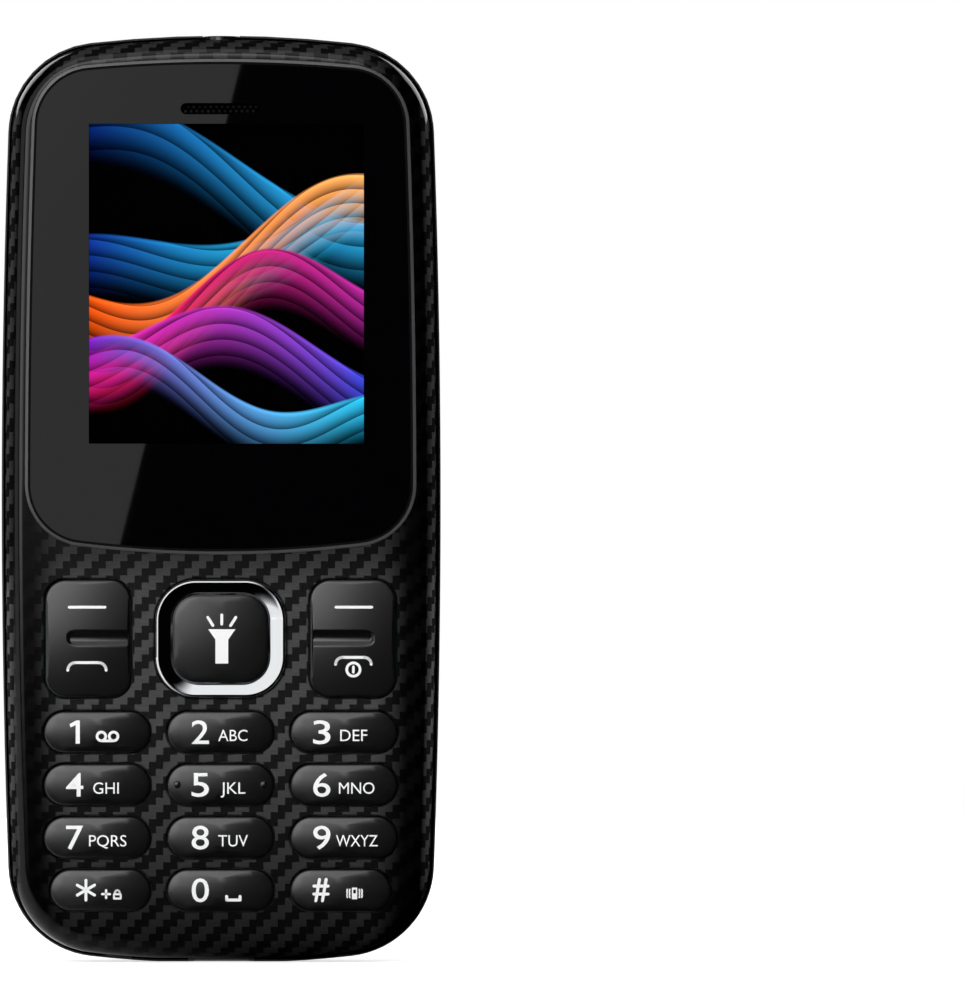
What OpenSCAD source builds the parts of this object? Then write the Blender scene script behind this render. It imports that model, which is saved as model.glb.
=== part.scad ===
// Feature phone with a numeric keypad, as the separate pieces that come apart on a bench.
// The phone stands upright: +Z runs along its length, the screen faces -Y, and +X is to the
// right of someone who reads the screen. The origin is the middle of the bottom end.

/* [Front layout] */
// Width of the display window where it is widest
window_w = 47; // [44:0.1:52]
// Height of the display window
window_h = 59.6; // [56:0.1:68]
// Radius of the window's corners
window_r = 7.4; // [5:0.1:12]
// Radius of the slight bow along the window's top
window_bow_r = 175; // [115:1:400]
// Body left beside the window on each side
window_side = 2.9; // [2.8:0.05:5]
// Body left above the window
window_top = 2.8; // [2.75:0.05:5]
// Body left between the window and the navigation keys
window_gap = 3; // [2:0.1:6]
// Body left between the navigation keys and the first row of number keys
nav_gap = 1.6; // [1:0.1:4]
// Body left between two rows of number keys
row_gap = 1.32; // [0.9:0.02:3]
// Body left between two columns of number keys
col_gap = 1.94; // [1:0.02:4]
// Body left below the last row of number keys
row_bottom = 6.2; // [5:0.1:12]
// Body left beside the number keys on each side
keypad_side = 5.17; // [4.8:0.01:8]
// Body left between the navigation ring and each rocker key
rocker_gap = 2.85; // [1:0.05:3.5]

/* [Outline] */
// Radius of the four corners seen from the front
corner_r = 11.1; // [9:0.1:13]
// Radius of the slight bow along each long side
side_bow_r = 1230; // [800:10:3000]
// Radius of the slight bow along the top and bottom ends
end_bow_r = 141; // [115:1:400]
// Width of the flat that the phone stands on
foot_w = 16; // [8:0.5:22]
// How far the rounding of the front edge reaches in from the side
front_round_w = 2.2; // [1:0.05:2.3]
// How far the rounding of the front edge reaches back from the face
front_round_d = 3; // [1.5:0.05:4]
// How far the rounding of the back edge reaches in from the side
back_round_w = 5; // [3:0.05:6]
// How far the rounding of the back edge reaches forward from the back
back_round_d = 5.2; // [3:0.05:5.8]
// Step from the middle band in to the front housing
rim_front = 0.5; // [0.1:0.05:0.6]
// Step from the middle band in to the battery cover
rim_back = 0.2; // [0.1:0.05:0.4]

/* [Walls] */
// Wall of the front face
face_t = 1.8; // [1.5:0.05:2.6]
// Side wall of the front housing
wall_t = 1.5; // [1.1:0.05:1.8]
// Wall of the battery cover
cover_t = 1; // [0.8:0.05:1.4]
// Floor of the rear housing, under the battery
floor_t = 0.8; // [0.6:0.05:1.5]
// Width of the middle band's ring
band_t = 2.2; // [1.8:0.05:2.4]
// Height of the middle band in front of the rear housing's floor
band_lead = 1.1; // [0.6:0.05:1.4]
// Tongue of the rear housing that stands inside the battery cover
tongue_t = 0.9; // [0.6:0.05:1.2]
// Height of that tongue
tongue_h = 1.6; // [0.8:0.05:2]
// Wall around the battery bay
bay_wall = 1; // [0.8:0.05:1.4]
// Height of the wall around the battery bay
bay_h = 3.6; // [2:0.1:4.4]

/* [Window and display] */
// Thickness of the window
window_t = 1; // [0.8:0.05:1.2]
// Thickness of the adhesive behind the window
tape_t = 0.1; // [0.05:0.01:0.15]
// Width of the lit area
lcd_w = 33; // [28:0.1:36]
// Height of the lit area
lcd_h = 38.4; // [34:0.1:42]
// Offset of the lit area to the right of the middle
lcd_shift = 0.7; // [0:0.05:0.9]
// Window above the lit area
lcd_top = 7.9; // [7.2:0.05:8.8]
// Edge of the display module beside the lit area
lcd_border = 1; // [0.7:0.05:1.2]
// Edge of the display module above the lit area
lcd_head = 0.8; // [0.6:0.05:1]
// Length of the display module below the lit area, for its driver
lcd_tail = 4.5; // [3:0.1:6]
// Thickness of the display panel
panel_t = 0.8; // [0.7:0.05:1]
// Thickness of the backlight
backlight_t = 0.9; // [0.8:0.05:1.2]
// Length of the display's flex below the module
lcd_flex_l = 5; // [3:0.1:6]
// Width of the display's flex
lcd_flex_w = 14; // [8:0.5:20]
// Thickness of the flexes
flex_t = 0.2; // [0.1:0.02:0.3]
// Width of the earpiece slot
ear_w = 9.5; // [6:0.1:12]
// Height of the earpiece slot
ear_h = 1.26; // [0.8:0.02:1.6]
// Gap from the display module up to the earpiece slot
ear_gap = 0.37; // [0.35:0.01:0.8]
// Thickness of the mesh in the earpiece slot
ear_mesh_t = 0.2; // [0.1:0.02:0.3]
// Width of the earpiece receiver
receiver_w = 11; // [8:0.1:14]
// Height of the earpiece receiver
receiver_h = 5.2; // [4:0.1:6]

/* [Keys] */
// Width of a number key
key_w = 12.86; // [11:0.02:15]
// Height of a number key
key_h = 5; // [4:0.05:7]
// Width of the star and hash keys
end_key_w = 12.1; // [10:0.02:13]
// Height of the keys' crown above the face
key_proud = 0.45; // [0.2:0.01:0.5]
// Radius of the number keys' crown
key_crown_r = 60; // [45:1:120]
// Travel of a key
key_travel = 0.35; // [0.2:0.01:0.4]
// Gap around each key in the face
key_clear = 0.18; // [0.12:0.01:0.3]
// Radius of the stem under each key
stem_r = 1.3; // [0.8:0.05:1.6]
// Width of a rocker key
rocker_w = 10.36; // [8:0.02:12]
// Radius of a rocker key's corners
rocker_r = 2.5; // [1:0.1:4]
// Radius of the rocker keys' crown
rocker_crown_r = 90; // [70:1:200]
// Tilt of a rocker key each way, in degrees
rocker_tilt = 2.2; // [1:0.1:2.4]
// Height of the groove across a rocker key
groove_h = 1.8; // [0.8:0.05:2.4]
// Length of that groove from the key's inner edge
groove_l = 7.8; // [5:0.1:9]
// Depth of that groove
groove_d = 0.7; // [0.3:0.05:1]
// Width of the navigation ring
nav_w = 15.7; // [14.5:0.02:18]
// Height of the navigation ring
nav_h = 14.2; // [13:0.02:17]
// Radius of the navigation ring's corners
nav_r = 4.9; // [3.5:0.1:6]
// Height of the navigation ring's edge above the face
nav_proud = 0.5; // [0.3:0.01:0.8]
// Width of the ring's edge before it dips to the centre key
nav_edge = 0.4; // [0.2:0.02:0.6]
// Depth of the dip at the ring's inner edge, below its outer edge
nav_dip = 0.75; // [0.3:0.05:1]
// Tilt of the navigation ring each way, in degrees
nav_tilt = 1.8; // [1:0.1:2]
// Width of the centre key
centre_w = 11.5; // [10:0.02:12.2]
// Height of the centre key
centre_h = 10.5; // [9:0.02:11.2]
// Radius of the centre key's corners
centre_r = 3; // [1.5:0.1:4]
// Height of the centre key's crown above the face
centre_proud = 0.3; // [0.1:0.01:0.5]
// Radius of the centre key's crown
centre_crown_r = 80; // [60:1:200]
// Gap between the centre key and the ring
ring_clear = 0.22; // [0.15:0.01:0.3]
// Thickness of the silicone key mat
mat_t = 0.5; // [0.4:0.02:0.6]
// Key mat beyond the outer stems
mat_edge = 2.7; // [2:0.1:3]
// Radius of a switch dome
dome_r = 2; // [1.2:0.05:2.3]
// Height of a switch dome
dome_h = 0.25; // [0.15:0.01:0.3]
// Thickness of the sheet that holds the domes
dome_sheet_t = 0.1; // [0.05:0.01:0.12]

/* [Board] */
// Thickness of the main board
board_t = 1; // [0.8:0.05:1.2]
// Gap between the main board and the front housing's wall
board_gap = 0.4; // [0.2:0.05:0.8]
// Height of the shield cans
shield_h = 1.5; // [1.3:0.05:2]
// Gap between the shield cans and the rear housing's floor
shield_gap = 0.1; // [0.05:0.01:0.3]
// Width of the shield cans
shield_w = 15; // [10:0.1:16]
// Length of the shield cans
shield_l = 16; // [10:0.1:17]
// Width of a SIM socket
sim_w = 15; // [13:0.1:15.6]
// Length of a SIM socket
sim_l = 13; // [11:0.1:15]
// Width and length of the memory card socket
card_w = 12.5; // [11:0.1:13.5]
// Height of the SIM and memory card sockets
socket_h = 1.35; // [1.1:0.05:1.5]
// Radius of the vibration motor
motor_r = 2; // [1.6:0.05:2.2]
// Length of the vibration motor's can
motor_l = 8; // [6:0.1:9]
// Length of the vibration motor's weight
weight_l = 2.8; // [2:0.1:3.2]
// Radius of the vibration motor's shaft
shaft_r = 0.4; // [0.3:0.02:0.5]

/* [Ports] */
// Width of the micro-USB socket
usb_w = 7.5; // [7:0.05:8]
// Height of the micro-USB socket
usb_t = 2.6; // [2.4:0.05:3]
// Depth of the micro-USB socket
usb_l = 5.2; // [4.6:0.1:6]
// Sheet metal of the micro-USB socket
usb_sheet = 0.3; // [0.2:0.02:0.35]
// Distance of the headset jack from the middle
jack_x = 12.5; // [11:0.1:14]
// Width of the headset jack's body
jack_w = 6.4; // [6:0.1:7]
// Height of the headset jack's body
jack_t = 5.2; // [4.8:0.05:5.8]
// Length of the headset jack's body
jack_l = 13; // [11:0.1:14.5]
// Radius of the headset jack's bore
jack_bore_r = 1.8; // [1.75:0.01:1.9]
// Radius of the headset jack's nose
jack_nose_r = 2.5; // [2.3:0.05:2.6]
// Distance of the ports' mouths behind the foot
port_sink = 0.6; // [0.4:0.05:1]
// Gap around the ports in the housings
port_clear = 0.2; // [0.1:0.02:0.35]
// Distance of the microphone from the middle
mic_x = 11; // [9:0.1:14]
// Radius of the microphone's hole
mic_hole_r = 0.5; // [0.3:0.05:0.6]
// Radius of the torch lens
torch_r = 2.2; // [1.6:0.05:2.6]
// Length of the torch lens
torch_l = 4; // [3.4:0.1:5]

/* [Battery] */
// Width of the battery
battery_w = 34.4; // [30:0.1:38]
// Length of the battery
battery_l = 52; // [44:0.1:55]
// Thickness of the battery
battery_t = 5.3; // [4.6:0.05:6.5]
// Radius of the battery's corners
battery_r = 1.2; // [0.5:0.1:3]
// Gap around the battery in its bay
battery_play = 0.2; // [0.1:0.02:0.4]
// Gap between the battery and the cover
battery_head = 0.25; // [0.15:0.05:0.6]
// Width of the battery connector
connector_w = 9; // [7:0.1:12]
// Depth of the battery connector
connector_l = 4.4; // [3:0.1:5]
// Height of the battery connector above the rear housing's floor
connector_h = 3; // [2:0.1:4]

/* [Back] */
// Width of the camera bezel
bezel_w = 12.8; // [11.5:0.1:15]
// Height of the camera bezel
bezel_h = 16.8; // [14:0.1:19]
// Radius of the camera bezel's corners
bezel_r = 2.8; // [1.5:0.1:4]
// Distance of the camera bezel from the middle
bezel_x = 9.9; // [9:0.1:12]
// Body left above the camera bezel
bezel_top = 12.8; // [10:0.1:14]
// Thickness of the camera bezel
bezel_t = 1.9; // [1.6:0.05:2.4]
// Depth of the camera bezel and the name plate below the back face
bezel_sink = 0.05; // [0.02:0.01:0.1]
// Edge of the bezel around the camera window
bezel_edge = 0.8; // [0.5:0.05:1.2]
// Width of the camera window
cam_window_w = 7.2; // [6.2:0.1:8.5]
// Thickness of the camera window
cam_window_t = 0.8; // [0.6:0.05:1]
// Distance of the lens from the bezel's middle, to the side
lens_x = 2; // [1.6:0.05:2.4]
// Distance of the lens from the bezel's middle, upwards
lens_z = 4.1; // [2:0.05:4.6]
// Width of the camera module's base
cam_base = 5.6; // [5:0.1:6.2]
// Height of the camera module's base
cam_base_h = 2.8; // [2:0.1:3]
// Radius of the camera module's barrel
barrel_r = 2.3; // [1.8:0.05:2.5]
// Radius of the camera's lens
lens_r = 1.15; // [0.8:0.05:1.4]
// Gap around the camera bezel in the cover
bezel_clear = 0.2; // [0.12:0.01:0.3]
// Width of a speaker slot
slot_w = 1.25; // [0.8:0.05:1.6]
// Length of a speaker slot
slot_l = 6.7; // [5:0.1:8]
// Distance between two speaker slots
slot_pitch = 3; // [2:0.05:3.4]
// Distance of the loudspeaker from the middle
speaker_x = 11; // [10:0.1:12.5]
// Radius of the loudspeaker
speaker_r = 7; // [6:0.1:7.6]
// Height of the loudspeaker
speaker_h = 4; // [3:0.1:4.4]
// Thickness of the mesh behind the speaker slots
mesh_t = 0.2; // [0.1:0.02:0.3]
// Width of the name plate
plate_w = 22; // [16:0.1:26]
// Height of the name plate
plate_h = 6; // [4:0.1:8]
// Height of the name plate's middle above the foot
plate_z = 25.5; // [18:0.1:34]
// Thickness of the name plate
plate_t = 0.35; // [0.2:0.02:0.5]

/* [Fixings] */
// Radius of a housing screw's thread
screw_r = 0.65; // [0.5:0.05:0.75]
// Radius of a housing screw's head
screw_head_r = 1.3; // [1.1:0.05:1.5]
// Height of a housing screw's head
screw_head_t = 0.7; // [0.5:0.05:0.9]
// Reach of a housing screw into its boss
screw_bite = 3.4; // [2.5:0.1:3.8]
// Radius of a screw boss
boss_r = 1.6; // [1.3:0.05:1.8]
// Distance of the lower and middle bosses from the side
boss_side = 5.4; // [5.2:0.05:6.5]
// Distance of the upper bosses from the side
boss_side_top = 7.4; // [7:0.05:8]
// Height of the lower bosses above the foot
boss_low = 11.5; // [10.5:0.1:13]
// Distance of the upper bosses from the top end
boss_top = 7.6; // [7:0.1:8.5]

/* [Hidden] */
$fn = 48;

// Small gaps and overlaps that several pieces share
fit = 0.1;        // gap around a piece that is set into a pocket
touch = 0.05;     // gap left at the end of a travel
over = 0.3;       // how far a cut runs past the face that it opens
slab_t = 0.02;    // thickness of one layer of a rounded shell
round_steps = 5;  // layers that make one rounded edge
crown_fn = 240;   // fineness of the large balls that crown the keys
bow_fn = 720;     // fineness of the large circles that bow the window's ends
post_more = 0.3;  // radius of a screw post beyond the boss in front of it
edge_r = 0.5;     // corner radius of small pressed and moulded pieces

// Places across the front, from the foot upwards
row_pitch = key_h + row_gap;
col_pitch = key_w + col_gap;
row_z = [for (k = [0:3]) row_bottom + key_h / 2 + (3 - k) * row_pitch];
nav_z = row_z[0] + key_h / 2 + nav_gap + nav_h / 2;
rocker_h = nav_h;
rocker_x = nav_w / 2 + rocker_gap + rocker_w / 2;
rocker_stem_z = rocker_h / 4;
window_z0 = nav_z + nav_h / 2 + window_gap;
window_z1 = window_z0 + window_h;
body_h = window_z1 + window_top;
lcd_z1 = window_z1 - lcd_top;
lcd_z0 = lcd_z1 - lcd_h;
module_z0 = lcd_z0 - lcd_tail;
module_z1 = lcd_z1 + lcd_head;
ear_z = module_z1 + ear_gap + ear_h / 2;
post_r = boss_r + post_more;
post_zone = boss_side + post_r;
body_w = max(
  window_w + 2 * window_side,
  2 * col_pitch + key_w + 2 * keypad_side,
  battery_w + 2 * (battery_play + bay_wall + post_zone)
);

// Planes from the front face to the back face
module_t = panel_t + backlight_t;
stack_d = face_t + module_t + board_t + shield_h + shield_gap + floor_t;
body_d = stack_d + touch + battery_t + battery_head + cover_t;
y_face = -(body_d + nav_proud) / 2 + nav_proud;
y_back = y_face + body_d;
y_in = y_face + face_t;
y_board0 = y_in + module_t;
y_board1 = y_board0 + board_t;
y_floor1 = y_face + stack_d;
y_floor0 = y_floor1 - floor_t;
y_split = y_floor0 - band_lead;
y_cover_in = y_back - cover_t;
y_dome = y_board0 - dome_sheet_t - dome_h;
y_cap = y_in - max(key_travel, rocker_h / 2 * sin(rocker_tilt)) - touch;
y_stem = y_dome - key_travel - touch;
y_seat = y_face + window_t + tape_t;

// Outline of the body, whose bottom bow is cut flat for the foot
foot_drop = end_bow_r - sqrt(end_bow_r * end_bow_r - foot_w * foot_w / 4);
plan_half_h = (body_h + foot_drop) / 2;
plan_z = body_h - plan_half_h;

// Places on the back and inside
bezel_z = body_h - bezel_top - bezel_h / 2;
cam_x = bezel_x + lens_x;
cam_z = bezel_z + lens_z;
cam_window_h = bezel_h - 2 * bezel_edge;
cam_window_x = bezel_x + bezel_w / 2 - bezel_edge - cam_window_w / 2;
y_bezel1 = y_back - bezel_sink;
y_bezel0 = y_bezel1 - bezel_t;
speaker_wall = 0.9;  // wall around the loudspeaker
y_speaker1 = y_floor1 + speaker_h;
jack_y = y_board1 + jack_t / 2;
jack_nose_l = 1.9;   // nose of the headset jack in front of its body
jack_end = 1;        // closed end of the headset jack's body
jack_z0 = port_sink + jack_nose_l;
battery_z0 = jack_z0 + jack_l + fit + bay_wall + battery_play;
battery_z1 = battery_z0 + battery_l;
connector_z0 = battery_z1 + battery_play + bay_wall + fit;
motor_top = 9.4;     // distance of the motor's axis from the top end
motor_side = 10.9;   // distance of the motor's can from the side
weight_gap = 0.4;    // gap between the motor's can and its weight
motor_z = body_h - motor_top;
motor_x = body_w / 2 - motor_side;
motor_y = y_board1 + motor_r;
weight_x = motor_x - motor_l - weight_gap;
torch_y = (y_split + y_floor1) / 2;
torch_sink = 0.2;    // distance of the torch lens below the top end
torch_z1 = body_h - torch_sink;
torch_z0 = torch_z1 - torch_l;
bosses = [
  for (s = [-1, 1])
    for (p = [
      [body_w / 2 - boss_side, boss_low],
      [body_w / 2 - boss_side, window_z0 - window_gap / 2],
      [body_w / 2 - boss_side_top, body_h - boss_top]
    ])
      [s * p.x, p.y]
];
screw_seat_t = 1.1;  // material under a screw's head
screw_sink = 0.2;    // depth of a screw's head in its post
y_screw = y_floor0 + screw_seat_t;
y_post = y_screw + screw_head_t + screw_sink;
mat_w = 2 * (col_pitch + stem_r + mat_edge);
mat_lap = 0.9;       // key mat beyond the last keys, lengthwise
mat_z0 = row_bottom - mat_lap;
mat_z1 = nav_z + nav_h / 2 + mat_lap;
mat_r = 2;           // corner radius of the key mat
frame_lip = 0.75;    // lip of the navigation frame behind the face
frame_t = 0.4;       // thickness of the navigation frame
frame_play = 0.03;   // gap left at that lip when the ring is tilted
frame_w = nav_w + 2 * frame_lip;
frame_h = nav_h + 2 * frame_lip;
frame_room = frame_w / 2 * sin(nav_tilt) + frame_play;
nub_r = 0.6;         // radius of the nubs that press the navigation domes
nub_in = 1.05;       // distance of the nubs from the ring's edge
nub_x = nav_w / 2 - nub_in;
nub_z = nav_h / 2 - nub_in;
soft_black = "#1d1d1f";
carbon = "#3a3a3b";
steel = "#b9bcc0";
gold = "#c9a557";

// Quarter of an outline with bowed sides and a round corner, from the right to the top.
// hw and hh are the half sizes, sr and er the bow radii of side and end, r the corner radius.
function bowed_quarter(hw, hh, sr, er, r, inset) =
  let (
    cs = hw - sr,
    ce = hh - er,
    d = norm([cs, ce]),
    u = [-cs / d, ce / d],
    a = ((sr - r) * (sr - r) - (er - r) * (er - r) + d * d) / (2 * d),
    h = sqrt((sr - r) * (sr - r) - a * a),
    c = [cs + a * u.x - h * u.y, a * u.y + h * u.x],
    as = atan2(c.y, c.x - cs),
    ae = atan2(c.y - ce, c.x)
  )
  concat(
    [for (k = [0:2]) [cs, 0] + (sr - inset) * [cos(as * k / 3), sin(as * k / 3)]],
    [for (k = [0:8]) c + (r - inset) * [cos(as + (ae - as) * k / 8), sin(as + (ae - as) * k / 8)]],
    [for (k = [1:3]) [0, ce] + (er - inset) * [cos(ae + (90 - ae) * k / 3), sin(ae + (90 - ae) * k / 3)]]
  );

// The whole outline, the quarter turned into all four corners
function bowed(hw, hh, sr, er, r, inset) =
  let (q = bowed_quarter(hw, hh, sr, er, r, inset), n = len(q))
  concat(
    q,
    [for (k = [n - 2:-1:0]) [-q[k].x, q[k].y]],
    [for (k = [1:n - 1]) [-q[k].x, -q[k].y]],
    [for (k = [n - 2:-1:1]) [q[k].x, -q[k].y]]
  );

// Flat shapes are drawn in x and z and run from one depth to another
module along_y(y0, y1) {
  translate([0, y1, 0]) rotate([90, 0, 0]) linear_extrude(y1 - y0) children();
}

// A round bar through a point of the front view
module bar_y(p, r, y0, y1) {
  along_y(y0, y1) translate(p) circle(r);
}

// A round bar along the phone's length
module bar_z(x, y, r, z0, z1) {
  translate([x, y, z0]) cylinder(h = z1 - z0, r = r);
}

// A block between two corners
module block(low, high) {
  translate(low) cube(high - low);
}

// Rectangle with round corners
module round_rect(w, h, r) {
  square([w - 2 * r, h], center = true);
  square([w, h - 2 * r], center = true);
  for (x = [-1, 1])
    for (z = [-1, 1])
      translate([x * (w / 2 - r), z * (h / 2 - r)]) circle(r);
}

// Bar with round ends, lying across
module pill(w, h) {
  square([w - h, h], center = true);
  for (x = [-1, 1])
    translate([x * (w - h) / 2, 0]) circle(h / 2);
}

// Outline of the body seen from the front, shrunk by inset
module body_plan(inset) {
  intersection() {
    translate([0, plan_z])
      polygon(bowed(body_w / 2, plan_half_h, side_bow_r, end_bow_r, corner_r, inset));
    translate([-body_w, inset]) square([2 * body_w, 2 * body_h]);
  }
}

// Ring between two insets of the body's outline
module body_ring(outer, inner) {
  difference() {
    body_plan(outer);
    body_plan(inner);
  }
}

// One thin layer of a rounded shell
module layer(y, inset) {
  along_y(y, y + slab_t) body_plan(inset);
}

// Outline of the display window, shrunk by inset: its sides follow the body's
module window_plan(inset) {
  offset(r = window_r - inset) offset(delta = -window_r) intersection() {
    body_plan((body_w - window_w) / 2);
    translate([0, window_z0 + end_bow_r]) circle(end_bow_r, $fn = bow_fn);
    translate([0, window_z1 - window_bow_r]) circle(window_bow_r, $fn = bow_fn);
  }
}

// Lit area of the display, grown by margin on each side
module lit_plan(margin) {
  translate([lcd_shift, (lcd_z0 + lcd_z1) / 2])
    square([lcd_w + 2 * margin, lcd_h + 2 * margin], center = true);
}

// Earpiece slot, grown by margin on each side
module ear_plan(margin) {
  translate([0, ear_z]) pill(ear_w + 2 * margin, ear_h + 2 * margin);
}

// Outline of the key mat and of the dome sheet, notched around the screw bosses
module mat_plan() {
  difference() {
    translate([0, (mat_z0 + mat_z1) / 2]) round_rect(mat_w, mat_z1 - mat_z0, mat_r);
    for (p = bosses) translate(p) circle(boss_r + 2 * fit);
  }
}

// Number keys count from 0 at the top left to 11 at the bottom right
function key_width(k) = k == 9 || k == 11 ? end_key_w : key_w;
function key_place(k) =
  [(k % 3 - 1) * (col_pitch - (key_w - key_width(k)) / 2), row_z[floor(k / 3)]];
key_places = [for (k = [0:11]) key_place(k)];
rocker_stems = [for (x = [-1, 1]) for (z = [-1, 1]) [x * rocker_x, nav_z + z * rocker_stem_z]];
nav_nubs = [
  [-nub_x, nav_z], [nub_x, nav_z], [0, nav_z - nub_z], [0, nav_z + nub_z]
];

// Outlines of the keys, grown by margin on each side
module key_plan(k, margin) {
  translate(key_place(k)) pill(key_width(k) + 2 * margin, key_h + 2 * margin);
}
module rocker_plan(side, margin) {
  translate([side * rocker_x, nav_z])
    round_rect(rocker_w + 2 * margin, rocker_h + 2 * margin, rocker_r + margin);
}
module nav_plan(margin) {
  translate([0, nav_z]) round_rect(nav_w + 2 * margin, nav_h + 2 * margin, nav_r + margin);
}
module centre_plan(margin) {
  translate([0, nav_z]) round_rect(centre_w + 2 * margin, centre_h + 2 * margin, centre_r + margin);
}

// Key cap with a crowned top, on a stem that reaches towards its switch dome
module crowned_cap(place, crown_r, proud) {
  intersection() {
    along_y(y_face - proud, y_cap) children();
    translate([place.x, y_face - proud + crown_r, place.y]) sphere(crown_r, $fn = crown_fn);
  }
}

// Openings of the ports and the torch through the end walls
module port_openings() {
  block(
    [-usb_w / 2 - port_clear, y_board1 - port_clear, -over],
    [usb_w / 2 + port_clear, y_board1 + usb_t + port_clear, port_sink + usb_l + port_clear]
  );
  bar_z(-jack_x, jack_y, jack_nose_r + port_clear, -over, jack_z0 + over);
  bar_z(0, torch_y, torch_r + port_clear, torch_z0 - over, body_h + over);
}

// Openings of the window's seat around the lit area and the earpiece slot
lit_open = 0.5;
ear_open = 0.3;

// Front housing: the patterned front shell with the window's seat, key openings and bosses
module front_housing() color(carbon) difference() {
  union() {
    difference() {
      hull() {
        for (k = [0:round_steps - 1])
          layer(
            y_face + front_round_d * (1 - cos(90 * k / round_steps)),
            rim_front + front_round_w * (1 - sin(90 * k / round_steps))
          );
        along_y(y_face + front_round_d, y_split) body_plan(rim_front);
      }
      along_y(y_in, y_split + over) body_plan(rim_front + wall_t);
    }
    for (p = bosses) bar_y(p, boss_r, y_in - over, y_floor0);
  }
  along_y(y_face - over, y_seat) window_plan(-fit);
  along_y(y_seat - over, y_in + over) lit_plan(lit_open);
  along_y(y_seat - over, y_in + over) ear_plan(ear_open);
  for (k = [0:11]) along_y(y_face - over, y_in + over) key_plan(k, key_clear);
  for (s = [-1, 1]) along_y(y_face - over, y_in + over) rocker_plan(s, key_clear);
  along_y(y_face - over, y_in + over) nav_plan(key_clear);
  for (p = bosses) bar_y(p, screw_r + touch, y_floor0 - screw_bite - over, y_floor0 + over);
  port_openings();
}

// Display window: clear acrylic, printed black behind its border
module display_window() color("#0c0c0d") along_y(y_face, y_face + window_t) difference() {
  window_plan(0);
  ear_plan(0);
}

// Adhesive frame that holds the window in its seat
tape_in = 0.4;    // adhesive's distance from the window's edge
tape_open = 0.4;  // adhesive's distance from the openings of the seat
module window_adhesive() color("#d8d8d0") along_y(y_face + window_t, y_seat) difference() {
  window_plan(tape_in);
  lit_plan(lit_open + tape_open);
  ear_plan(ear_open + tape_open);
}

// Mesh that keeps dust out of the earpiece
module earpiece_mesh() color(steel) difference() {
  along_y(y_seat, y_seat + ear_mesh_t) ear_plan(ear_open - touch);
  for (k = [-6:6])
    for (z = [-1, 1])
      bar_y([(k + z / 4) * ear_w / 14, ear_z + z * ear_h / 5], ear_h / 7, y_seat - over, y_in);
}

// Earpiece receiver, a flat sound capsule behind the slot
module earpiece_receiver() color("#2a2a2c") along_y(y_in, y_board0)
  translate([0, module_z1 + fit + receiver_h / 2]) round_rect(receiver_w, receiver_h, 2 * edge_r);

// Outline of the display module
module lcd_plan() {
  translate([lcd_shift - lcd_w / 2 - lcd_border, module_z0])
    square([lcd_w + 2 * lcd_border, module_z1 - module_z0]);
}

// Display panel, a sandwich of two glass sheets
module lcd_panel() color("#1f2a44") along_y(y_in, y_in + panel_t) lcd_plan();

// Backlight with its white frame
module lcd_backlight() color("#e6e8ea") along_y(y_in + panel_t, y_board0) lcd_plan();

// Flex that joins the display to the main board
module lcd_flex() color("#b5742c") along_y(y_board0 - flex_t, y_board0)
  translate([lcd_shift - lcd_flex_w / 2, module_z0 - lcd_flex_l]) square([lcd_flex_w, lcd_flex_l]);

// Silicone key mat, open where the stems and the navigation keys go through
module key_mat() color("#5a5a5e") along_y(y_in, y_in + mat_t) difference() {
  mat_plan();
  for (p = concat(key_places, rocker_stems)) translate(p) circle(stem_r + 2 * fit);
  translate([0, nav_z]) round_rect(frame_w + 4 * fit, frame_h + 4 * fit, nav_r);
}

// Sheet of metal switch domes on the main board
module dome_sheet() color("#d9d2b8") union() {
  along_y(y_board0 - dome_sheet_t, y_board0) mat_plan();
  ball_r = (dome_r * dome_r + dome_h * dome_h) / (2 * dome_h);
  for (p = concat(key_places, rocker_stems, nav_nubs, [[0, nav_z]]))
    intersection() {
      translate([p.x, y_dome + ball_r, p.y]) sphere(ball_r, $fn = crown_fn);
      bar_y(p, dome_r, y_dome, y_board0);
    }
}

// Number key, one of twelve
module number_key(k) color(soft_black) union() {
  crowned_cap(key_place(k), key_crown_r, key_proud) key_plan(k, 0);
  bar_y(key_place(k), stem_r, y_cap - over, y_stem);
}

// Middle number key, with two raised dots that a thumb can find
dot_r = 0.36;
dot_sink = 0.1;                     // top of the dots below the crown's middle
dot_x = key_w / 2 - key_h / 4;      // distance of the dots from the key's middle
module middle_key() color(soft_black) union() {
  number_key(4);
  for (s = [-1, 1])
    bar_y(key_place(4) + [s * dot_x, 0], dot_r, y_face - key_proud + dot_sink, y_cap);
}

// Rocker key: a soft key above and a call key below, parted by a groove
module rocker_key(side) color(soft_black) difference() {
  union() {
    crowned_cap([side * rocker_x, nav_z], rocker_crown_r, key_proud) rocker_plan(side, 0);
    for (z = [-1, 1])
      bar_y([side * rocker_x, nav_z + z * rocker_stem_z], stem_r, y_cap - over, y_stem);
  }
  along_y(y_face - key_proud - over, y_face - key_proud + groove_d)
    translate([side * (rocker_x - rocker_w / 2 + groove_l / 2 - groove_h / 2), nav_z])
      pill(groove_l + groove_h, groove_h);
}

// Frame under the navigation ring, wider than its opening so that it can't fall out
module nav_frame() color(soft_black) union() {
  along_y(y_in + frame_room, y_in + frame_room + frame_t) translate([0, nav_z]) difference() {
    round_rect(frame_w, frame_h, nav_r);
    round_rect(2 * (nub_x - nub_r), 2 * (nub_z - nub_r), centre_r);
  }
  for (p = nav_nubs) bar_y(p, nub_r, y_in + frame_room, y_stem);
}

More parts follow.
